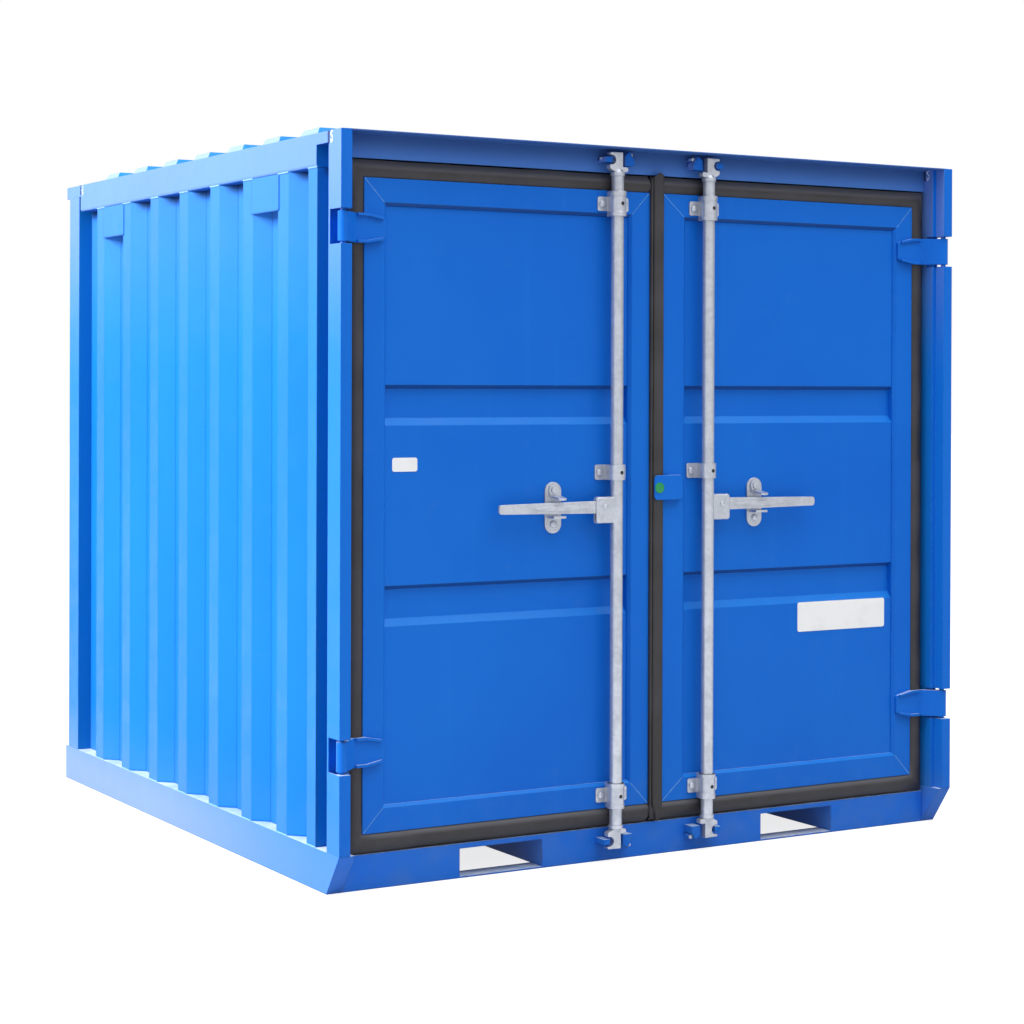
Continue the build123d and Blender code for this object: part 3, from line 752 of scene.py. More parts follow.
# Side walls: painted shadow of the top rail in the recesses below it, painted shade on faces that look to
# the front, and a little painted sheen.
WALL_PAINT = PaintFinish(
    "wall_paint",
    chip_share=0.0,
    edge_radius=0.009,
    bleach_share=0.08,
    soot_share=0.75,
    soot_low=1.765,
    soot_high=1.799,
    recess_share=0.9,
)
REAR_PAINT = replace(
    WALL_PAINT,
    name="rear_wall_paint",
    recess_share=0.0,
    bleach_share=0.0,
    faded_share=0.0,
    slope_share=0.0,
)
# Doors: a little painted light on ledges, and painted shade on faces that look down, such as the swages'
# upper slopes.
DOOR_PAINT = PaintFinish(
    "door_paint",
    ripple=0.0009,
    bleach_share=0.0,
    faded_share=0.0,
    slope_share=0.0,
    ledge_share=0.10,
    under_from=-0.25,
    under_share=0.60,
)
# Base: a strong painted sheen on the side towards the key lamp, and level faces pale with dust and painted
# light from above.
BASE_PAINT = PaintFinish(
    "base_paint",
    colour=(0.014, 0.155, 0.70),
    pale=(0.026, 0.195, 0.76),
    ripple=0.0004,
    chip_share=0.6,
    bleach_share=0.60,
    grime_share=0.15,
    settled_share=0.85,
    edge_radius=0.005,
)
# Weld beads and door mitres in a paler paint: painted glints.
SEAM_GLINT_PAINT = PaintFinish("seam_paint", colour=(0.14, 0.40, 0.86), pale=(0.30, 0.54, 0.90), chip_share=0.0)
ZINC = GalvanisedFinish("zinc")
RUBBER = RubberFinish("rubber")
PLYWOOD = PlywoodFinish("plywood")
WHITE_PLATE = EnamelFinish("white_plate", colour=(0.90, 0.91, 0.92), dust=(0.74, 0.75, 0.76))
# Black discs stand for the shade inside the grease holes.
HOLE_SHADE = EnamelFinish("hole", colour=(0.006, 0.006, 0.007), dust=(0.012, 0.012, 0.013), roughness=0.7)
GREEN_MARK = EnamelFinish("green_mark", colour=(0.004, 0.27, 0.075), dust=(0.010, 0.29, 0.11))


class Piece:
    """A new mesh piece that is shaped in a bmesh and then rides on a body."""

    SOFT_CREASE = 60.0
    RIM_STRIPS = 3
    CORNER_STRIPS = 4
    RING_STEPS = 32
    BEAD_LEAST_STEPS = 3
    BEAD_SIDES = 6
    BEAD_PITCH = 2.2
    BEAD_SWELL = (0.75, 1.15)

    def __init__(self, name: str, body: str, finish: Finish, slot: Slot) -> None:
        """Start an empty piece.

        Args:
            name: The piece's name.
            body: The body that it rides on.
            finish: Its finish.
            slot: The record's slot that the finish stands for.
        """
        self.name = name
        self.body = body
        self.finish = finish
        self.slot = slot
        self.mesh = bmesh.new()

    def outline(self, points: Sequence[Vector]) -> tuple[list, list]:
        """Add a closed outline.

        Args:
            points: Its corners in order.

        Returns:
            Its vertices and its edges.
        """
        loop = [self.mesh.verts.new(point) for point in points]
        edges = [self.mesh.edges.new((loop[i - 1], loop[i])) for i in range(len(loop))]
        return loop, edges

    def sweep(self, section: Sequence[Point], frames: Sequence[Matrix]) -> None:
        """Sweep a closed section through frames and close its ends.

        Args:
            section: The section's points, in the first two axes of each frame.
            frames: Where the section stands, one after another.
        """
        edges = self.outline([frames[0] @ Vector((*point, 0.0)) for point in section])[1]
        bmesh.ops.contextual_create(self.mesh, geom=edges)
        for before, after in zip(frames, frames[1:]):
            made = bmesh.ops.extrude_edge_only(self.mesh, edges=edges)["geom"]
            moved = [item for item in made if isinstance(item, bmesh.types.BMVert)]
            edges = [item for item in made if isinstance(item, bmesh.types.BMEdge)]
            edges = [e for e in edges if all(v in moved for v in e.verts)]
            bmesh.ops.transform(self.mesh, matrix=after @ before.inverted(), verts=moved)
        bmesh.ops.contextual_create(self.mesh, geom=edges)

    def ring(self, centre: Vector, section: Sequence[Point]) -> None:
        """Spin a section round an upright axis.

        Args:
            centre: The ring's centre.
            section: Points as radius and height.
        """
        loop, edges = self.outline([centre + Vector((r, 0.0, h)) for r, h in section])
        bmesh.ops.spin(
            self.mesh,
            geom=loop + edges,
            cent=centre,
            axis=(0.0, 0.0, 1.0),
            angle=math.tau,
            steps=self.RING_STEPS,
            use_merge=True,
            use_duplicate=False,
        )

    def bevel(self, edges: list[bmesh.types.BMEdge], offset: float, segments: int) -> None:
        """Round edges off.

        Args:
            edges: The edges.
            offset: How far the rounding reaches.
            segments: How many strips it has.
        """
        bmesh.ops.bevel(
            self.mesh,
            geom=edges,
            offset=offset,
            affect="EDGES",
            segments=segments,
            profile=0.5,
            material=-1,
        )

    @staticmethod
    def edges_of(made: dict) -> set[bmesh.types.BMEdge]:
        """The edges of a shape that an operator has made."""
        return {edge for vert in made["verts"] for edge in vert.link_edges}

    def stud(
        self, place: Vector, radius: float, height: float, sides: int = 16, round_share: float = 0.6
    ) -> None:
        """Add a round or many-sided head that stands forward from a face.

        Args:
            place: The middle of the head on the face.
            radius: The head's radius.
            height: How far it stands forward.
            sides: The number of sides.
            round_share: The bevel's share of the height.
        """
        middle = Matrix.Translation(place - Vector((0, height / 2, 0)))
        made = bmesh.ops.create_cone(
            self.mesh,
            cap_ends=True,
            segments=sides,
            radius1=radius,
            radius2=radius,
            depth=height,
            matrix=middle @ Matrix.Rotation(math.radians(90), 4, "X"),
        )
        front = place.y - height
        rim = [e for e in self.edges_of(made) if all(abs(v.co.y - front) < TOUCH for v in e.verts)]
        self.bevel(rim, height * round_share, self.RIM_STRIPS)

    def plate(self, low: Vector, high: Vector, round_by: float) -> None:
        """Add a thin plate in the XZ plane with bevelled corners.

        Args:
            low: The lowest corner.
            high: The highest corner.
            round_by: The bevel of its corners.
        """
        middle = (low + high) / 2
        size = high - low
        made = bmesh.ops.create_cube(
            self.mesh,
            size=1.0,
            matrix=Matrix.Translation(middle) @ Matrix.Diagonal((*size, 1.0)),
        )
        corners = [
            edge
            for edge in self.edges_of(made)
            if abs(edge.verts[0].co.y - edge.verts[1].co.y) > size.y / 2
        ]
        self.bevel(corners, round_by, self.CORNER_STRIPS)

    def bead(self, start: Vector, end: Vector, radius: float, seed: int) -> None:
        """Add a weld bead along a straight seam.

        Args:
            start: One end of the seam.
            end: The other end.
            radius: The bead's mean radius.
            seed: The seed of its ripples.
        """
        draw = random.Random(seed)
        run = end - start
        steps = max(self.BEAD_LEAST_STEPS, int(run.length / (radius * self.BEAD_PITCH)))
        turn = run.to_track_quat("Z", "Y").to_matrix().to_4x4()
        frames = []
        for step in range(steps + 1):
            swell = draw.uniform(*self.BEAD_SWELL)
            frames.append(Matrix.Translation(start + run * (step / steps)) @ turn @ Matrix.Scale(swell, 4))
        angles = [math.tau * side / self.BEAD_SIDES for side in range(self.BEAD_SIDES)]
        self.sweep([(radius * math.cos(angle), radius * math.sin(angle)) for angle in angles], frames)

    def finish_up(self, crease: float = 35.0, stands_for: Iterable[str] = ()) -> None:
        """Make the object, dress it and let it ride.

        Args:
            crease: Edges sharper than this many degrees stay sharp.
            stands_for: The CAD nodes that it replaces.
        """
        bmesh.ops.recalc_face_normals(self.mesh, faces=self.mesh.faces)
        data = bpy.data.meshes.new(self.name)
        self.mesh.to_mesh(data)
        self.mesh.free()
        data.shade_smooth()
        data.set_sharp_from_angle(angle=math.radians(crease))
        data.materials.append(self.finish.material())
        piece = bpy.data.objects.new(self.name, data)
        bpy.context.scene.collection.objects.link(piece)
        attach(piece, self.body)
        nodes = list(stands_for)
        if nodes:
            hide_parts(*nodes)
        LOG.info("%s rides on %s, %d faces", self.name, self.body, len(data.polygons))


@dataclass(frozen=True)
class DoorSeal:
    """The rubber band round the three free sides of one door.

    Attributes:
        hand: Which door it is on.
        reach_in: How far the band runs past the door's inner edge.
        step: The distance between the band's sections.
        ripple_share: How unevenly the lip reaches out.
        strip_foot: How far above the band's foot the inner edge's strip starts.
        strip_head: How far below the band's head it ends.
        seed: The seed of the lip's ripples, less or more by one for the hand.
    """

    hand: Hand
    reach_in: float
    step: float = 0.055
    ripple_share: float = 0.035
    strip_foot: float = 0.014
    strip_head: float = 0.006
    seed: int = 40

    # The band's section: its width as shares of its reach, its depth from the door's face
    FRONT = (
        (0.00, 4.0), (0.04, 1.2), (0.12, -1.6), (0.22, -3.8), (0.33, -5.2), (0.45, -5.4),
        (0.58, -4.0), (0.70, -1.4), (0.82, 2.8), (0.93, 8.0), (1.05, 13.0),
    )
    BACK = ((0.93, 15.5), (0.75, 17.4), (0.00, 18.0))

    # The strip's section along the left door's inner edge
    STRIP = ((0.0, 16.0), (0.0, -5.0), (1.2, -8.4), (3.6, -9.2), (6.0, -8.6), (7.4, -5.0), (7.4, 16.0))

    def frames(self) -> list[Matrix]:
        """Where the section stands: along the bottom, up the outer side and back along the top.

        Returns:
            The frames in that order.
        """
        low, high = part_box(f"door_frame_{self.hand.word}")
        seal_low, seal_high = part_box(f"door_seal_{self.hand.word}")
        sign = self.hand.value
        outer = high.x if sign > 0 else low.x
        inner = (low.x if sign > 0 else high.x) - sign * self.reach_in
        wide = (seal_high.x - high.x) if sign > 0 else (seal_low.x - low.x)
        down, up = seal_low.z - low.z, seal_high.z - high.z
        draw = random.Random(self.seed + sign)
        corners = (
            (inner, low.z, 0.0, down),
            (outer, low.z, wide, down),
            (outer, high.z, wide, up),
            (inner, high.z, 0.0, up),
        )
        reaches = ((0.0, down), (wide, 0.0), (0.0, up))
        stations = []
        for start, end, (out_x, out_z) in zip(corners, corners[1:], reaches):
            stations.append(start)
            count = int(math.dist(start[:2], end[:2]) / self.step)
            for index in range(1, count):
                share = index / count
                swell = 1.0 - self.ripple_share * draw.random()
                x = start[0] + (end[0] - start[0]) * share
                z = start[1] + (end[1] - start[1]) * share
                stations.append((x, z, out_x * swell, out_z * swell))
        stations.append(corners[-1])
        return [self.frame(low.y, *station) for station in stations]

    @staticmethod
    def frame(face: float, x: float, z: float, out_x: float, out_z: float) -> Matrix:
        """A frame whose first axis leads outwards and whose second leads to the rear.

        Args:
            face: The Y of the door's face.
            x: The X of the door's edge.
            z: The Z of the door's edge.
            out_x: How far the band reaches along X.
            out_z: How far it reaches along Z.

        Returns:
            The frame.
        """
        return Matrix(
            (
                (out_x, 0.0, -out_z, x),
                (0.0, 1.0, 0.0, face),
                (out_z, 0.0, out_x, z),
                (0.0, 0.0, 0.0, 1.0),
            )
        )

    def build(self) -> None:
        """Sweep the band and put it in the place of its plain solid."""
        word = self.hand.word
        piece = Piece(f"seal_band_{word}", f"{word}_door", RUBBER, Slot.RUBBER)
        piece.sweep([(w, d * MM) for w, d in self.FRONT + self.BACK], self.frames())
        if self.hand is Hand.LEFT:
            self.edge_strip(piece)
        piece.finish_up(Piece.SOFT_CREASE, [f"door_seal_{word}"])

    def edge_strip(self, piece: Piece) -> None:
        """Add the strip along the left door's inner edge that closes up to the middle seal.

        Args:
            piece: The band's piece.
        """
        low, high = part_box("door_frame_left")
        seal_low, seal_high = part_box("door_seal_left")
        heights = (seal_low.z + self.strip_foot, seal_high.z - self.strip_head)
        ends = [Matrix.Translation((high.x, low.y, z)) for z in heights]
        piece.sweep([(x * MM, y * MM) for x, y in self.STRIP], ends)


@dataclass(frozen=True)
class MiddleSeal:
    """The rubber strip over the joint between the doors, with a pointed lower end.

    Attributes:
        tip_rise: The height of the pointed end.
        tip_share: The point's share of the strip's width.
        peak: How far the middle of its upper end rises in front of the header.
        crest: How far that middle lies to the right of the strip's own.
        step: The distance between sections.
        ripple_share: How unevenly wide the strip is.
        stem_share: How far the stem reaches left, against the strip's half width.
        stem_taper: How much less far its rear reaches left.
        stem_gap: How far its right side stays inside the strip's box.
        stem_front: How far it reaches forward into the cap.
        seed: The seed of the strip's ripples.
    """

    tip_rise: float = 0.044
    tip_share: float = 0.16
    peak: float = 0.013
    crest: float = 0.003
    step: float = 0.08
    ripple_share: float = 0.02
    stem_share: float = 0.6
    stem_taper: float = 0.006
    stem_gap: float = 0.0005
    stem_front: float = 0.001
    seed: int = 7

    # The cap's section: X in the frame, depth from the doors' face
    CAP = (
        (-19.0, -1.0), (-18.6, -4.6), (-15.5, -8.2), (-9.0, -9.5), (-2.0, -9.7), (1.0, -9.0),
        (4.0, -9.8), (9.0, -9.4), (13.0, -7.8), (15.6, -4.2), (16.0, -1.0),
    )

    def stations(self, bottom: float, top: float) -> list[Point]:
        """Where the cap's sections stand.

        Args:
            bottom: The height of the strip's point.
            top: The height of its upper end.

        Returns:
            Heights, each with the share of the full width there.
        """
        draw = random.Random(self.seed)
        full = bottom + self.tip_rise
        stations = [(bottom, self.tip_share), (full, 1.0)]
        z = full + self.step
        while z < top - self.step / 2:
            stations.append((z, 1.0 - self.ripple_share * draw.random()))
            z += self.step
        stations.append((top, 1.0))
        return stations

    def build(self) -> None:
        """Sweep the cap and the stem behind it."""
        low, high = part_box("middle_seal")
        door_low, door_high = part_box("door_frame_left")
        face = door_low.y
        centre = (low.x + high.x) / 2
        half = high.x - centre
        piece = Piece("middle_seal_strip", "right_door", RUBBER, Slot.RUBBER)
        frames = [
            Matrix.Translation((centre, face, z)) @ Matrix.Diagonal((width, 1.0, 1.0, 1.0))
            for z, width in self.stations(low.z, high.z)
        ]
        piece.sweep([(x * MM - centre, y * MM) for x, y in self.CAP], frames)
        for vert in piece.mesh.verts:
            if vert.co.z > high.z - MM:
                off_crest = abs(vert.co.x - centre - self.crest) / half
                vert.co.z += self.peak * max(0.0, 1.0 - off_crest)
        left, right, rear = centre - half * self.stem_share, high.x - self.stem_gap, high.y - face
        stem = [
            (left, -self.stem_front),
            (right, -self.stem_front),
            (right, rear),
            (left + self.stem_taper, rear),
        ]
        piece.sweep(stem, [Matrix.Translation((0.0, face, z)) for z in (door_low.z, door_high.z)])
        piece.finish_up(Piece.SOFT_CREASE, ["middle_seal"])


@dataclass(frozen=True)
class LockGearFasteners:
    """Bolts, rivets and sleeves of one door's lock gear.

    Attributes:
        hand: Which door the gear is on.
        bolt_radius: The radius of a flange bolt's head.
        bolt_height: Its height.
        flange_bolt: Its distance from the bar's axis.
        flange: The thickness of a guide's flange.
        barrel: The length of a long guide's barrel.
        short_guide: The height of the short guide's middle above the handle's.
        retainer_plate: The thickness of the handle retainer's plate.
        retainer_bolt: The height of its lower bolt above its foot.
        hole_radius: The radius of a grease hole.
        hole_height: The height of its rim.
        hole_sunk: How deep the rim is set in the barrel.
        hole_aside: How far to the right of the axis it lies.
        hole_round: How far its rim is rounded, as a share of its height.
        rivet_radius: The radius of the hub's rivet.
        rivet_height: Its height.
        rivet_out: Its distance from the bar's axis.
        rivet_round: How far its rim is rounded, as a share of its height.
        hub_front: How far the hub reaches forward of the axis.
        sleeve: The length of a guide's end sleeve.
        sleeve_inner: Its inner radius.
        sleeve_outer: Its outer radius.
    """

    hand: Hand
    bolt_radius: float = 0.0095
    bolt_height: float = 0.006
    flange_bolt: float = 0.035
    flange: float = 0.005
    barrel: float = 0.066
    short_guide: float = 0.090
    retainer_plate: float = 0.006
    retainer_bolt: float = 0.024
    hole_radius: float = 0.0052
    hole_height: float = 0.0014
    hole_sunk: float = 0.0012
    hole_aside: float = 0.002
    hole_round: float = 0.3
    rivet_radius: float = 0.0075
    rivet_height: float = 0.004
    rivet_out: float = 0.041
    rivet_round: float = 0.9
    hub_front: float = 0.0105
    sleeve: float = 0.012
    sleeve_inner: float = 0.0178
    sleeve_outer: float = 0.0232

    def axis(self, joints: list[dict]) -> Vector:
        """The place of the lock bar's axis.

        Args:
            joints: The frame's joints.

        Returns:
            A point on the axis.
        """
        return Vector(next(j["pos_m"] for j in joints if j["name"] == f"{self.hand.word}_bar_turn"))

    def handle_middle(self) -> float:
        """The height of the handle's middle."""
        low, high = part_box(f"bar_handle_{self.hand.word}")
        return (low.z + high.z) / 2

    def guide_middles(self) -> tuple[float, float, float]:
        """The heights of the guides' middles.

        Returns:
            The lower long guide's, the upper long guide's and the short guide's.
        """
        low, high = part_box(f"bar_guides_{self.hand.word}")
        half = self.barrel / 2
        return low.z + half, high.z - half, self.handle_middle() + self.short_guide

    def build(self, joints: list[dict]) -> None:
        """Make the door's bolts, holes and sleeves and the bar's rivet.

        Args:
            joints: The frame's joints.
        """
        word = self.hand.word
        axis = self.axis(joints)
        self.door_bolts(word, axis)
        self.grease_holes(word, axis)
        self.hub_rivet(word, axis)
        self.sleeves(word, axis)

    def door_bolts(self, word: str, axis: Vector) -> None:
        """Bolt heads on the guides' flanges and at the foot of the handle's retainer.

        Args:
            word: The hand as it ends a node's name.
            axis: A point on the bar's axis.
        """
        door_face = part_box(f"door_frame_{word}")[0].y
        panel_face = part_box(f"door_panel_{word}")[0].y
        piece = Piece(f"gear_bolts_{word}", f"{word}_door", ZINC, Slot.STEEL)
        for z, face in zip(self.guide_middles(), (door_face, door_face, panel_face)):
            for side in (-1, 1):
                place = Vector((axis.x + side * self.flange_bolt, face - self.flange, z))
                piece.stud(place, self.bolt_radius, self.bolt_height)
        low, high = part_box(f"handle_retainer_{word}")
        place = Vector(((low.x + high.x) / 2, panel_face - self.retainer_plate, low.z + self.retainer_bolt))
        piece.stud(place, self.bolt_radius, self.bolt_height)
        piece.finish_up()

    def grease_holes(self, word: str, axis: Vector) -> None:
        """Black discs in the front of the guides that stand for the shade inside the grease holes.

        Args:
            word: The hand as it ends a node's name.
            axis: A point on the bar's axis.
        """
        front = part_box(f"bar_guides_{word}")[0].y + self.hole_sunk
        piece = Piece(f"grease_holes_{word}", f"{word}_door", HOLE_SHADE, Slot.STEEL)
        for z in self.guide_middles():
            place = Vector((axis.x + self.hole_aside, front, z))
            piece.stud(place, self.hole_radius, self.hole_height, round_share=self.hole_round)
        piece.finish_up()

    def hub_rivet(self, word: str, axis: Vector) -> None:
        """The rivet through the hub and the handle.

        Args:
            word: The hand as it ends a node's name.
            axis: A point on the bar's axis.
        """
        x = axis.x + self.hand.value * self.rivet_out
        place = Vector((x, axis.y - self.hub_front, self.handle_middle()))
        piece = Piece(f"hub_rivet_{word}", f"{word}_bar", ZINC, Slot.STEEL)
        piece.stud(place, self.rivet_radius, self.rivet_height, round_share=self.rivet_round)
        piece.finish_up()

    def sleeves(self, word: str, axis: Vector) -> None:
        """Thin sleeves on the ends of the long guides.

        Args:
            word: The hand as it ends a node's name.
            axis: A point on the bar's axis.
        """
        low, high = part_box(f"bar_guides_{word}")
        piece = Piece(f"guide_sleeves_{word}", f"{word}_door", ZINC, Slot.STEEL)
        inner, outer, half = self.sleeve_inner, self.sleeve_outer, self.sleeve / 2
        section = [(inner, -half), (outer, -half), (outer, half), (inner, half)]
        for bottom in (low.z, high.z - self.barrel):
            for z in (bottom + half, bottom + self.barrel - half):
                piece.ring(Vector((axis.x, axis.y, z)), section)
        piece.finish_up()


@dataclass(frozen=True)
class KeeperPins:
    """The pins with bright tips beside the cam keepers.

    Attributes:
        out: The pin's distance from the bar's axis.
        rise: Its distance from the cam's foot.
        cam_height: The height of a cam.
        radius: The tip's radius.
        shaft_share: The shaft's share of that radius.
        shaft_round: How far its rim is rounded, as a share of its length.
        reach: How far the shaft stands forward of the sill's face.
        tip_height: The length of the tip.
        tip_sunk: How far the tip reaches back over the shaft.
        sides: The number of sides.
    """

    out: float = 0.047
    rise: float = 0.058
    cam_height: float = 0.062
    radius: float = 0.0058
    shaft_share: float = 0.8
    shaft_round: float = 0.05
    reach: float = 0.024
    tip_height: float = 0.006
    tip_sunk: float = 0.001
    sides: int = 14

    def build(self, joints: list[dict]) -> None:
        """Make the four pins.

        Args:
            joints: The frame's joints.
        """
        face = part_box("front_sill")[0].y
        piece = Piece("keeper_pins", "root", FRAME_PAINT, Slot.PAINT)
        tips = Piece("keeper_pin_tips", "root", ZINC, Slot.STEEL)
        for hand in Hand:
            axis = LockGearFasteners(hand).axis(joints)
            low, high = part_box(f"bar_cams_{hand.word}")
            for foot, way in ((high.z - self.cam_height, 1), (low.z + self.cam_height, -1)):
                place = Vector((axis.x - hand.value * self.out, face, foot + way * self.rise))
                piece.stud(place, self.radius * self.shaft_share, self.reach, self.sides, self.shaft_round)
                tip = place - Vector((0.0, self.reach - self.tip_sunk, 0.0))
                tips.stud(tip, self.radius, self.tip_height, self.sides)
        piece.finish_up()
        tips.finish_up()


@dataclass(frozen=True)
class WeldSeams:
    """Weld beads along the side walls and the ground seams at the doors' corners, in a paler paint painted
    as their glints.

    Attributes:
        bead: The radius of a wall's bead.
        seam: The radius of a door's ground seam.
        sunk_share: How deep a ground seam lies, as a share of its radius.
        trim: How far inside the door's outer corner it starts.
        inset: How far outside the panel's corner it ends.
        seed: The seed of its ripples.
    """

    bead: float = 0.0024
    seam: float = 0.0011
    sunk_share: float = 0.35
    trim: float = 0.002
    inset: float = 0.008
    seed: int = 11

    def build(self, nodes: dict[str, bpy.types.Object]) -> None:
        """Make the seams of the walls and of both doors.

        Args:
            nodes: The CAD nodes by name.
        """
        self.wall_seams(nodes)
        for hand in Hand:
            self.door_mitres(hand)

    @staticmethod
    def outer_flats(wall: bpy.types.Object, outer_x: float) -> list[Point]:
        """The Y ranges of a wall's outer flats.

        Args:
            wall: The wall's node.
            outer_x: The X of the flats.

        Returns:
            The ranges from front to rear.
        """
        corners = [v.co for v in wall.data.vertices if abs(v.co.x - outer_x) < NEAR]
        places = sorted({round(corner.y, NEAR_DIGITS) for corner in corners})
        return list(zip(places[0::2], places[1::2]))

    def wall_seams(self, nodes: dict[str, bpy.types.Object]) -> None:
        """Beads where each outer flat of the side walls meets the rails.

        Args:
            nodes: The CAD nodes by name.
        """
        piece = Piece("wall_seams", "root", SEAM_GLINT_PAINT, Slot.PAINT)
        for hand in Hand:
            low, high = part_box(f"side_wall_{hand.word}")
            x = low.x if hand is Hand.LEFT else high.x
            for index, (start, end) in enumerate(self.outer_flats(nodes[f"side_wall_{hand.word}"], x)):
                for z in (low.z, high.z):
                    piece.bead(Vector((x, start, z)), Vector((x, end, z)), self.bead, index)
        piece.finish_up(Piece.SOFT_CREASE)

    def door_mitres(self, hand: Hand) -> None:
        """Ground seams from the door's outer corners to its panel's corners.

        Args:
            hand: Which door.
        """
        word = hand.word
        low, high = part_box(f"door_frame_{word}")
        panel_low, panel_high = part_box(f"door_panel_{word}")
        piece = Piece(f"door_seams_{word}", f"{word}_door", SEAM_GLINT_PAINT, Slot.PAINT)
        face = low.y + self.seam * self.sunk_share
        for outer_x, inner_x, way in ((low.x, panel_low.x, -1), (high.x, panel_high.x, 1)):
            for outer_z, inner_z, rise in ((low.z, panel_low.z, -1), (high.z, panel_high.z, 1)):
                start = Vector((outer_x - way * self.trim, face, outer_z - rise * self.trim))
                end = Vector((inner_x + way * self.inset, face, inner_z + rise * self.inset))
                piece.bead(start, end, self.seam, self.seed)
        piece.finish_up(Piece.SOFT_CREASE)


@dataclass(frozen=True)
class Plates:
    """The bare plates and the plain mark on the doors.

    Attributes:
        thickness: A plate's thickness.
        corner: The radius of its corners.
        wide: The wide plate's lower left and upper right corners as X and Z.
        small: The small plate's.
        mark: The middle of the round mark as X and Z.
        mark_radius: Its radius.
        mark_sides: The number of its sides.
        mark_round: How far its rim is rounded, as a share of its height.
    """

    thickness: float = 0.0014
    corner: float = 0.006
    wide: tuple[Point, Point] = ((0.480, 0.571), (0.790, 0.653))
    small: tuple[Point, Point] = ((-0.795, 1.039), (-0.724, 1.074))
    mark: Point = (-0.0035, 0.984)
    mark_radius: float = 0.0145
    mark_sides: int = 28
    mark_round: float = 0.4

    def build(self) -> None:
        """Make the wide plate, the small plate and the mark on the closing flap."""
        self.plate("wide_plate", Hand.RIGHT, *self.wide)
        self.plate("small_plate", Hand.LEFT, *self.small)
        x, z = self.mark
        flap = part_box("closing_flap")[0].y
        mark = Piece("flap_mark", "right_door", GREEN_MARK, Slot.PAINT)
        place = Vector((x, flap, z))
        mark.stud(place, self.mark_radius, self.thickness, self.mark_sides, self.mark_round)
        mark.finish_up()

    def plate(self, name: str, hand: Hand, low: Point, high: Point) -> None:
        """Make one plate on a door's panel.

        Args:
            name: The plate's name.
            hand: Which door carries it.
            low: Its lower left corner as X and Z.
            high: Its upper right corner as X and Z.
        """
        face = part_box(f"door_panel_{hand.word}")[0].y
        piece = Piece(name, f"{hand.word}_door", WHITE_PLATE, Slot.PAINT)
        front = Vector((low[0], face - self.thickness, low[1]))
        piece.plate(front, Vector((high[0], face, high[1])), self.corner)
        piece.finish_up()


class Dresser:
    """Gives every CAD node that still shows its finish."""

    RULES: tuple[tuple[tuple[str, ...], Finish], ...] = (
        (("lock_bar", "bar_cams", "bar_handle", "bar_guides", "handle_retainer", "handle_catch"), ZINC),
        (("door_seal", "middle_seal"), RUBBER),
        (("floor",), PLYWOOD),
        (("roof",), ROOF_PAINT),
        (("front_header", "header_lip"), HEADER_PAINT),
        (("rear_post", "top_rail"), RAIL_PAINT),
        (("side_wall", "vent_covers"), WALL_PAINT),
        (("rear_wall",), REAR_PAINT),
        (("door_", "hinge_leaves", "closing_flap"), DOOR_PAINT),
        (("bottom_rail", "front_sill", "rear_sill", "fork_pocket", "cross_members"), BASE_PAINT),
    )

    def finish_of(self, node: str) -> Finish:
        """Choose a node's finish by the start of its name.

        Args:
            node: The node's name.

        Returns:
            Its finish.
        """
        for starts, finish in self.RULES:
            if node.startswith(starts):
                return finish
        return FRAME_PAINT

    def build(self, nodes: dict[str, bpy.types.Object]) -> None:
        """Dress the nodes.

        Args:
            nodes: The CAD nodes by name.
        """
        for name, node in nodes.items():
            material = self.finish_of(name).material()
            if not node.material_slots:
                node.data.materials.append(material)
            for slot in node.material_slots:
                slot.material = material
            LOG.info("%s wears %s", name, material.name)


@dataclass(frozen=True)
class Lamp:
    """A rectangular lamp.

    Attributes:
        name: The lamp's name.
        place: Where it stands.
        aim: The point that it faces.
        size: Its width and height.
        power: Its power in watts.
    """

    name: str
    place: Place
    aim: Place
    size: Point
    power: float

    def build(self) -> None:
        """Make the lamp and turn it to its aim."""
        data = bpy.data.lights.new(self.name, "AREA")
        data.shape = "RECTANGLE"
        data.size, data.size_y = self.size
        data.energy = self.power
        lamp = bpy.data.objects.new(self.name, data)
        lamp.location = self.place
        lamp.rotation_euler = (Vector(self.aim) - Vector(self.place)).to_track_quat("-Z", "Y").to_euler()
        bpy.context.scene.collection.objects.link(lamp)


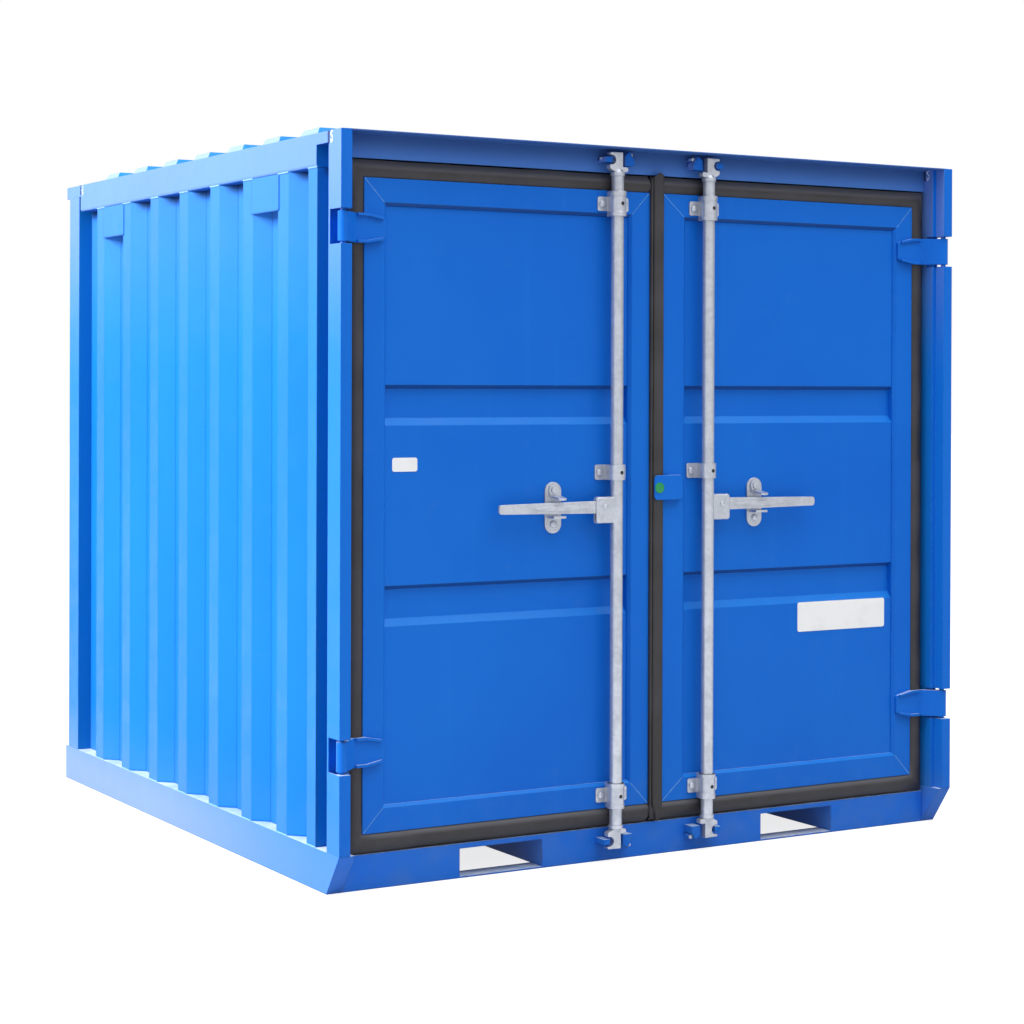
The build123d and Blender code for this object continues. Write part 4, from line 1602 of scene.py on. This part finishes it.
@dataclass(frozen=True)
class Studio:
    """Pale floor, white surround and soft lamps.

    Attributes:
        floor_half: Half the floor's side.
        floor_drop: How far the floor lies below the container's foot.
        floor_tone: The floor's grey.
        floor_lift: Light added to the floor where it is seen.
        horizon: The surround's strength as a light at the horizon.
        zenith: Its strength overhead.
        gloss_dim: How much dimmer its right side is in gloss.
        lamps: A large lamp at the left, one overhead and a weak one in front.
    """

    floor_half: float = 40.0
    floor_drop: float = 0.0005
    floor_tone: float = 0.42
    floor_lift: float = 0.80
    horizon: float = 0.40
    zenith: float = 0.95
    gloss_dim: float = 0.60
    lamps: tuple[Lamp, ...] = (
        Lamp("key_lamp", (-7.0, 0.4, 5.2), (-0.97, 0.1, 1.0), (4.0, 4.0), 1050.0),
        Lamp("top_lamp", (0.5, -2.0, 6.5), (0.0, -0.5, 0.9), (6.0, 6.0), 350.0),
        Lamp("fill_lamp", (1.5, -6.5, 4.0), (0.0, -0.9, 0.9), (5.0, 3.0), 25.0),
    )

    RIGHT_SIDE = (0.50, 0.78)
    WHITE = (1.0, 1.0, 1.0, 1.0)

    def build(self) -> None:
        """Set the view transform and make the surround, the floor and the lamps."""
        bpy.context.scene.view_settings.view_transform = "Standard"
        self.surround()
        self.floor()
        for lamp in self.lamps:
            lamp.build()

    @staticmethod
    def seen(graph: NodeGraph) -> Socket:
        """Tell the rays that show the studio from those that light the object.

        Args:
            graph: The graph that takes the nodes.

        Returns:
            1 for rays from the camera, from gloss and through glass.
        """
        path = graph.add("LightPath").outputs
        first = graph.math("MAXIMUM", path["Is Camera Ray"], path["Is Glossy Ray"])
        return graph.math("MAXIMUM", first, path["Is Transmission Ray"])

    def surround(self) -> None:
        """White where it is seen, softer where it lights the object, dim on the right in gloss."""
        world = bpy.data.worlds.new("surround")
        bpy.context.scene.world = world
        world.use_nodes = True
        graph = NodeGraph(world.node_tree)
        way = graph.axes(graph.add("TexCoord").outputs["Generated"])
        cast = graph.ramp(way["Z"], 0.0, 1.0, self.horizon, self.zenith)
        right = graph.ramp(way["X"], *self.RIGHT_SIDE, 0.0, self.gloss_dim)
        dimmed = graph.product(right, graph.add("LightPath").outputs["Is Glossy Ray"])
        shown = graph.math("SUBTRACT", self.seen(graph), dimmed)
        strength = graph.math("MAXIMUM", shown, cast)
        light = graph.add("Background", {"Color": self.WHITE, "Strength": strength})
        graph.add("OutputWorld", {"Surface": light.outputs[0]})

    def floor(self) -> None:
        """A plain pale floor that keeps the shadow."""
        mesh = bmesh.new()
        bmesh.ops.create_grid(mesh, x_segments=1, y_segments=1, size=self.floor_half)
        data = bpy.data.meshes.new("floor_sheet")
        mesh.to_mesh(data)
        mesh.free()
        floor = bpy.data.objects.new("floor_sheet", data)
        floor.location.z = -self.floor_drop
        bpy.context.scene.collection.objects.link(floor)
        material = bpy.data.materials.new("pale_floor")
        material.use_nodes = True
        graph = NodeGraph(material.node_tree)
        tone = (self.floor_tone, self.floor_tone, self.floor_tone, 1.0)
        diffuse = graph.add("BsdfDiffuse", {"Color": tone})
        lift = graph.product(self.seen(graph), self.floor_lift)
        glow = graph.add("Emission", {"Color": self.WHITE, "Strength": lift})
        both = graph.add("AddShader", {0: diffuse.outputs[0], 1: glow.outputs[0]})
        graph.add("OutputMaterial", {"Surface": both.outputs[0]})
        data.materials.append(material)


@dataclass(frozen=True)
class PhotoCamera:
    """The camera at the photograph's viewpoint.

    Attributes:
        place: Its place.
        yaw: Its turn from the rear towards the right, in degrees.
        pitch: Its tilt up, in degrees.
        roll: Its roll, in degrees.
        lens: Its focal length in millimetres.
        sensor: Its sensor's width in millimetres.
        shift: The sensor's shift as shares of its width.
    """

    place: Place = (-3.38455, -5.90300, 1.25429)
    yaw: float = 30.44422
    pitch: float = -0.22308
    roll: float = -0.18609
    lens: float = 78.81455
    sensor: float = 36.0
    shift: Point = (0.00207, -0.11429)

    def build(self) -> None:
        """Make the camera and give it to the scene."""
        yaw, pitch, roll = (math.radians(a) for a in (self.yaw, self.pitch, self.roll))
        ahead = Vector((math.sin(yaw) * math.cos(pitch), math.cos(yaw) * math.cos(pitch), math.sin(pitch)))
        level = Vector((math.cos(yaw), -math.sin(yaw), 0.0))
        across = level * math.cos(roll) + ahead.cross(level) * math.sin(roll)
        up = across.cross(ahead)
        turn = Matrix((across, up, -ahead)).transposed().to_4x4()
        data = bpy.data.cameras.new("photo_camera")
        data.sensor_width = self.sensor
        data.lens = self.lens
        data.shift_x, data.shift_y = self.shift
        camera = bpy.data.objects.new("photo_camera", data)
        camera.matrix_world = Matrix.Translation(self.place) @ turn
        bpy.context.scene.collection.objects.link(camera)
        bpy.context.scene.camera = camera


def main() -> None:
    """Load the frame, dress it, add the pieces and set the studio."""
    logging.basicConfig(level=logging.INFO, format="%(name)s: %(message)s")
    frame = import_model()
    Dresser().build(frame["nodes"])
    DoorSeal(Hand.LEFT, reach_in=0.0).build()
    DoorSeal(Hand.RIGHT, reach_in=0.036).build()
    MiddleSeal().build()
    for hand in Hand:
        LockGearFasteners(hand).build(frame["joints"])
    KeeperPins().build(frame["joints"])
    WeldSeams().build(frame["nodes"])
    Plates().build()
    Studio().build()
    PhotoCamera().build()


if __name__ == "__main__":
    main()
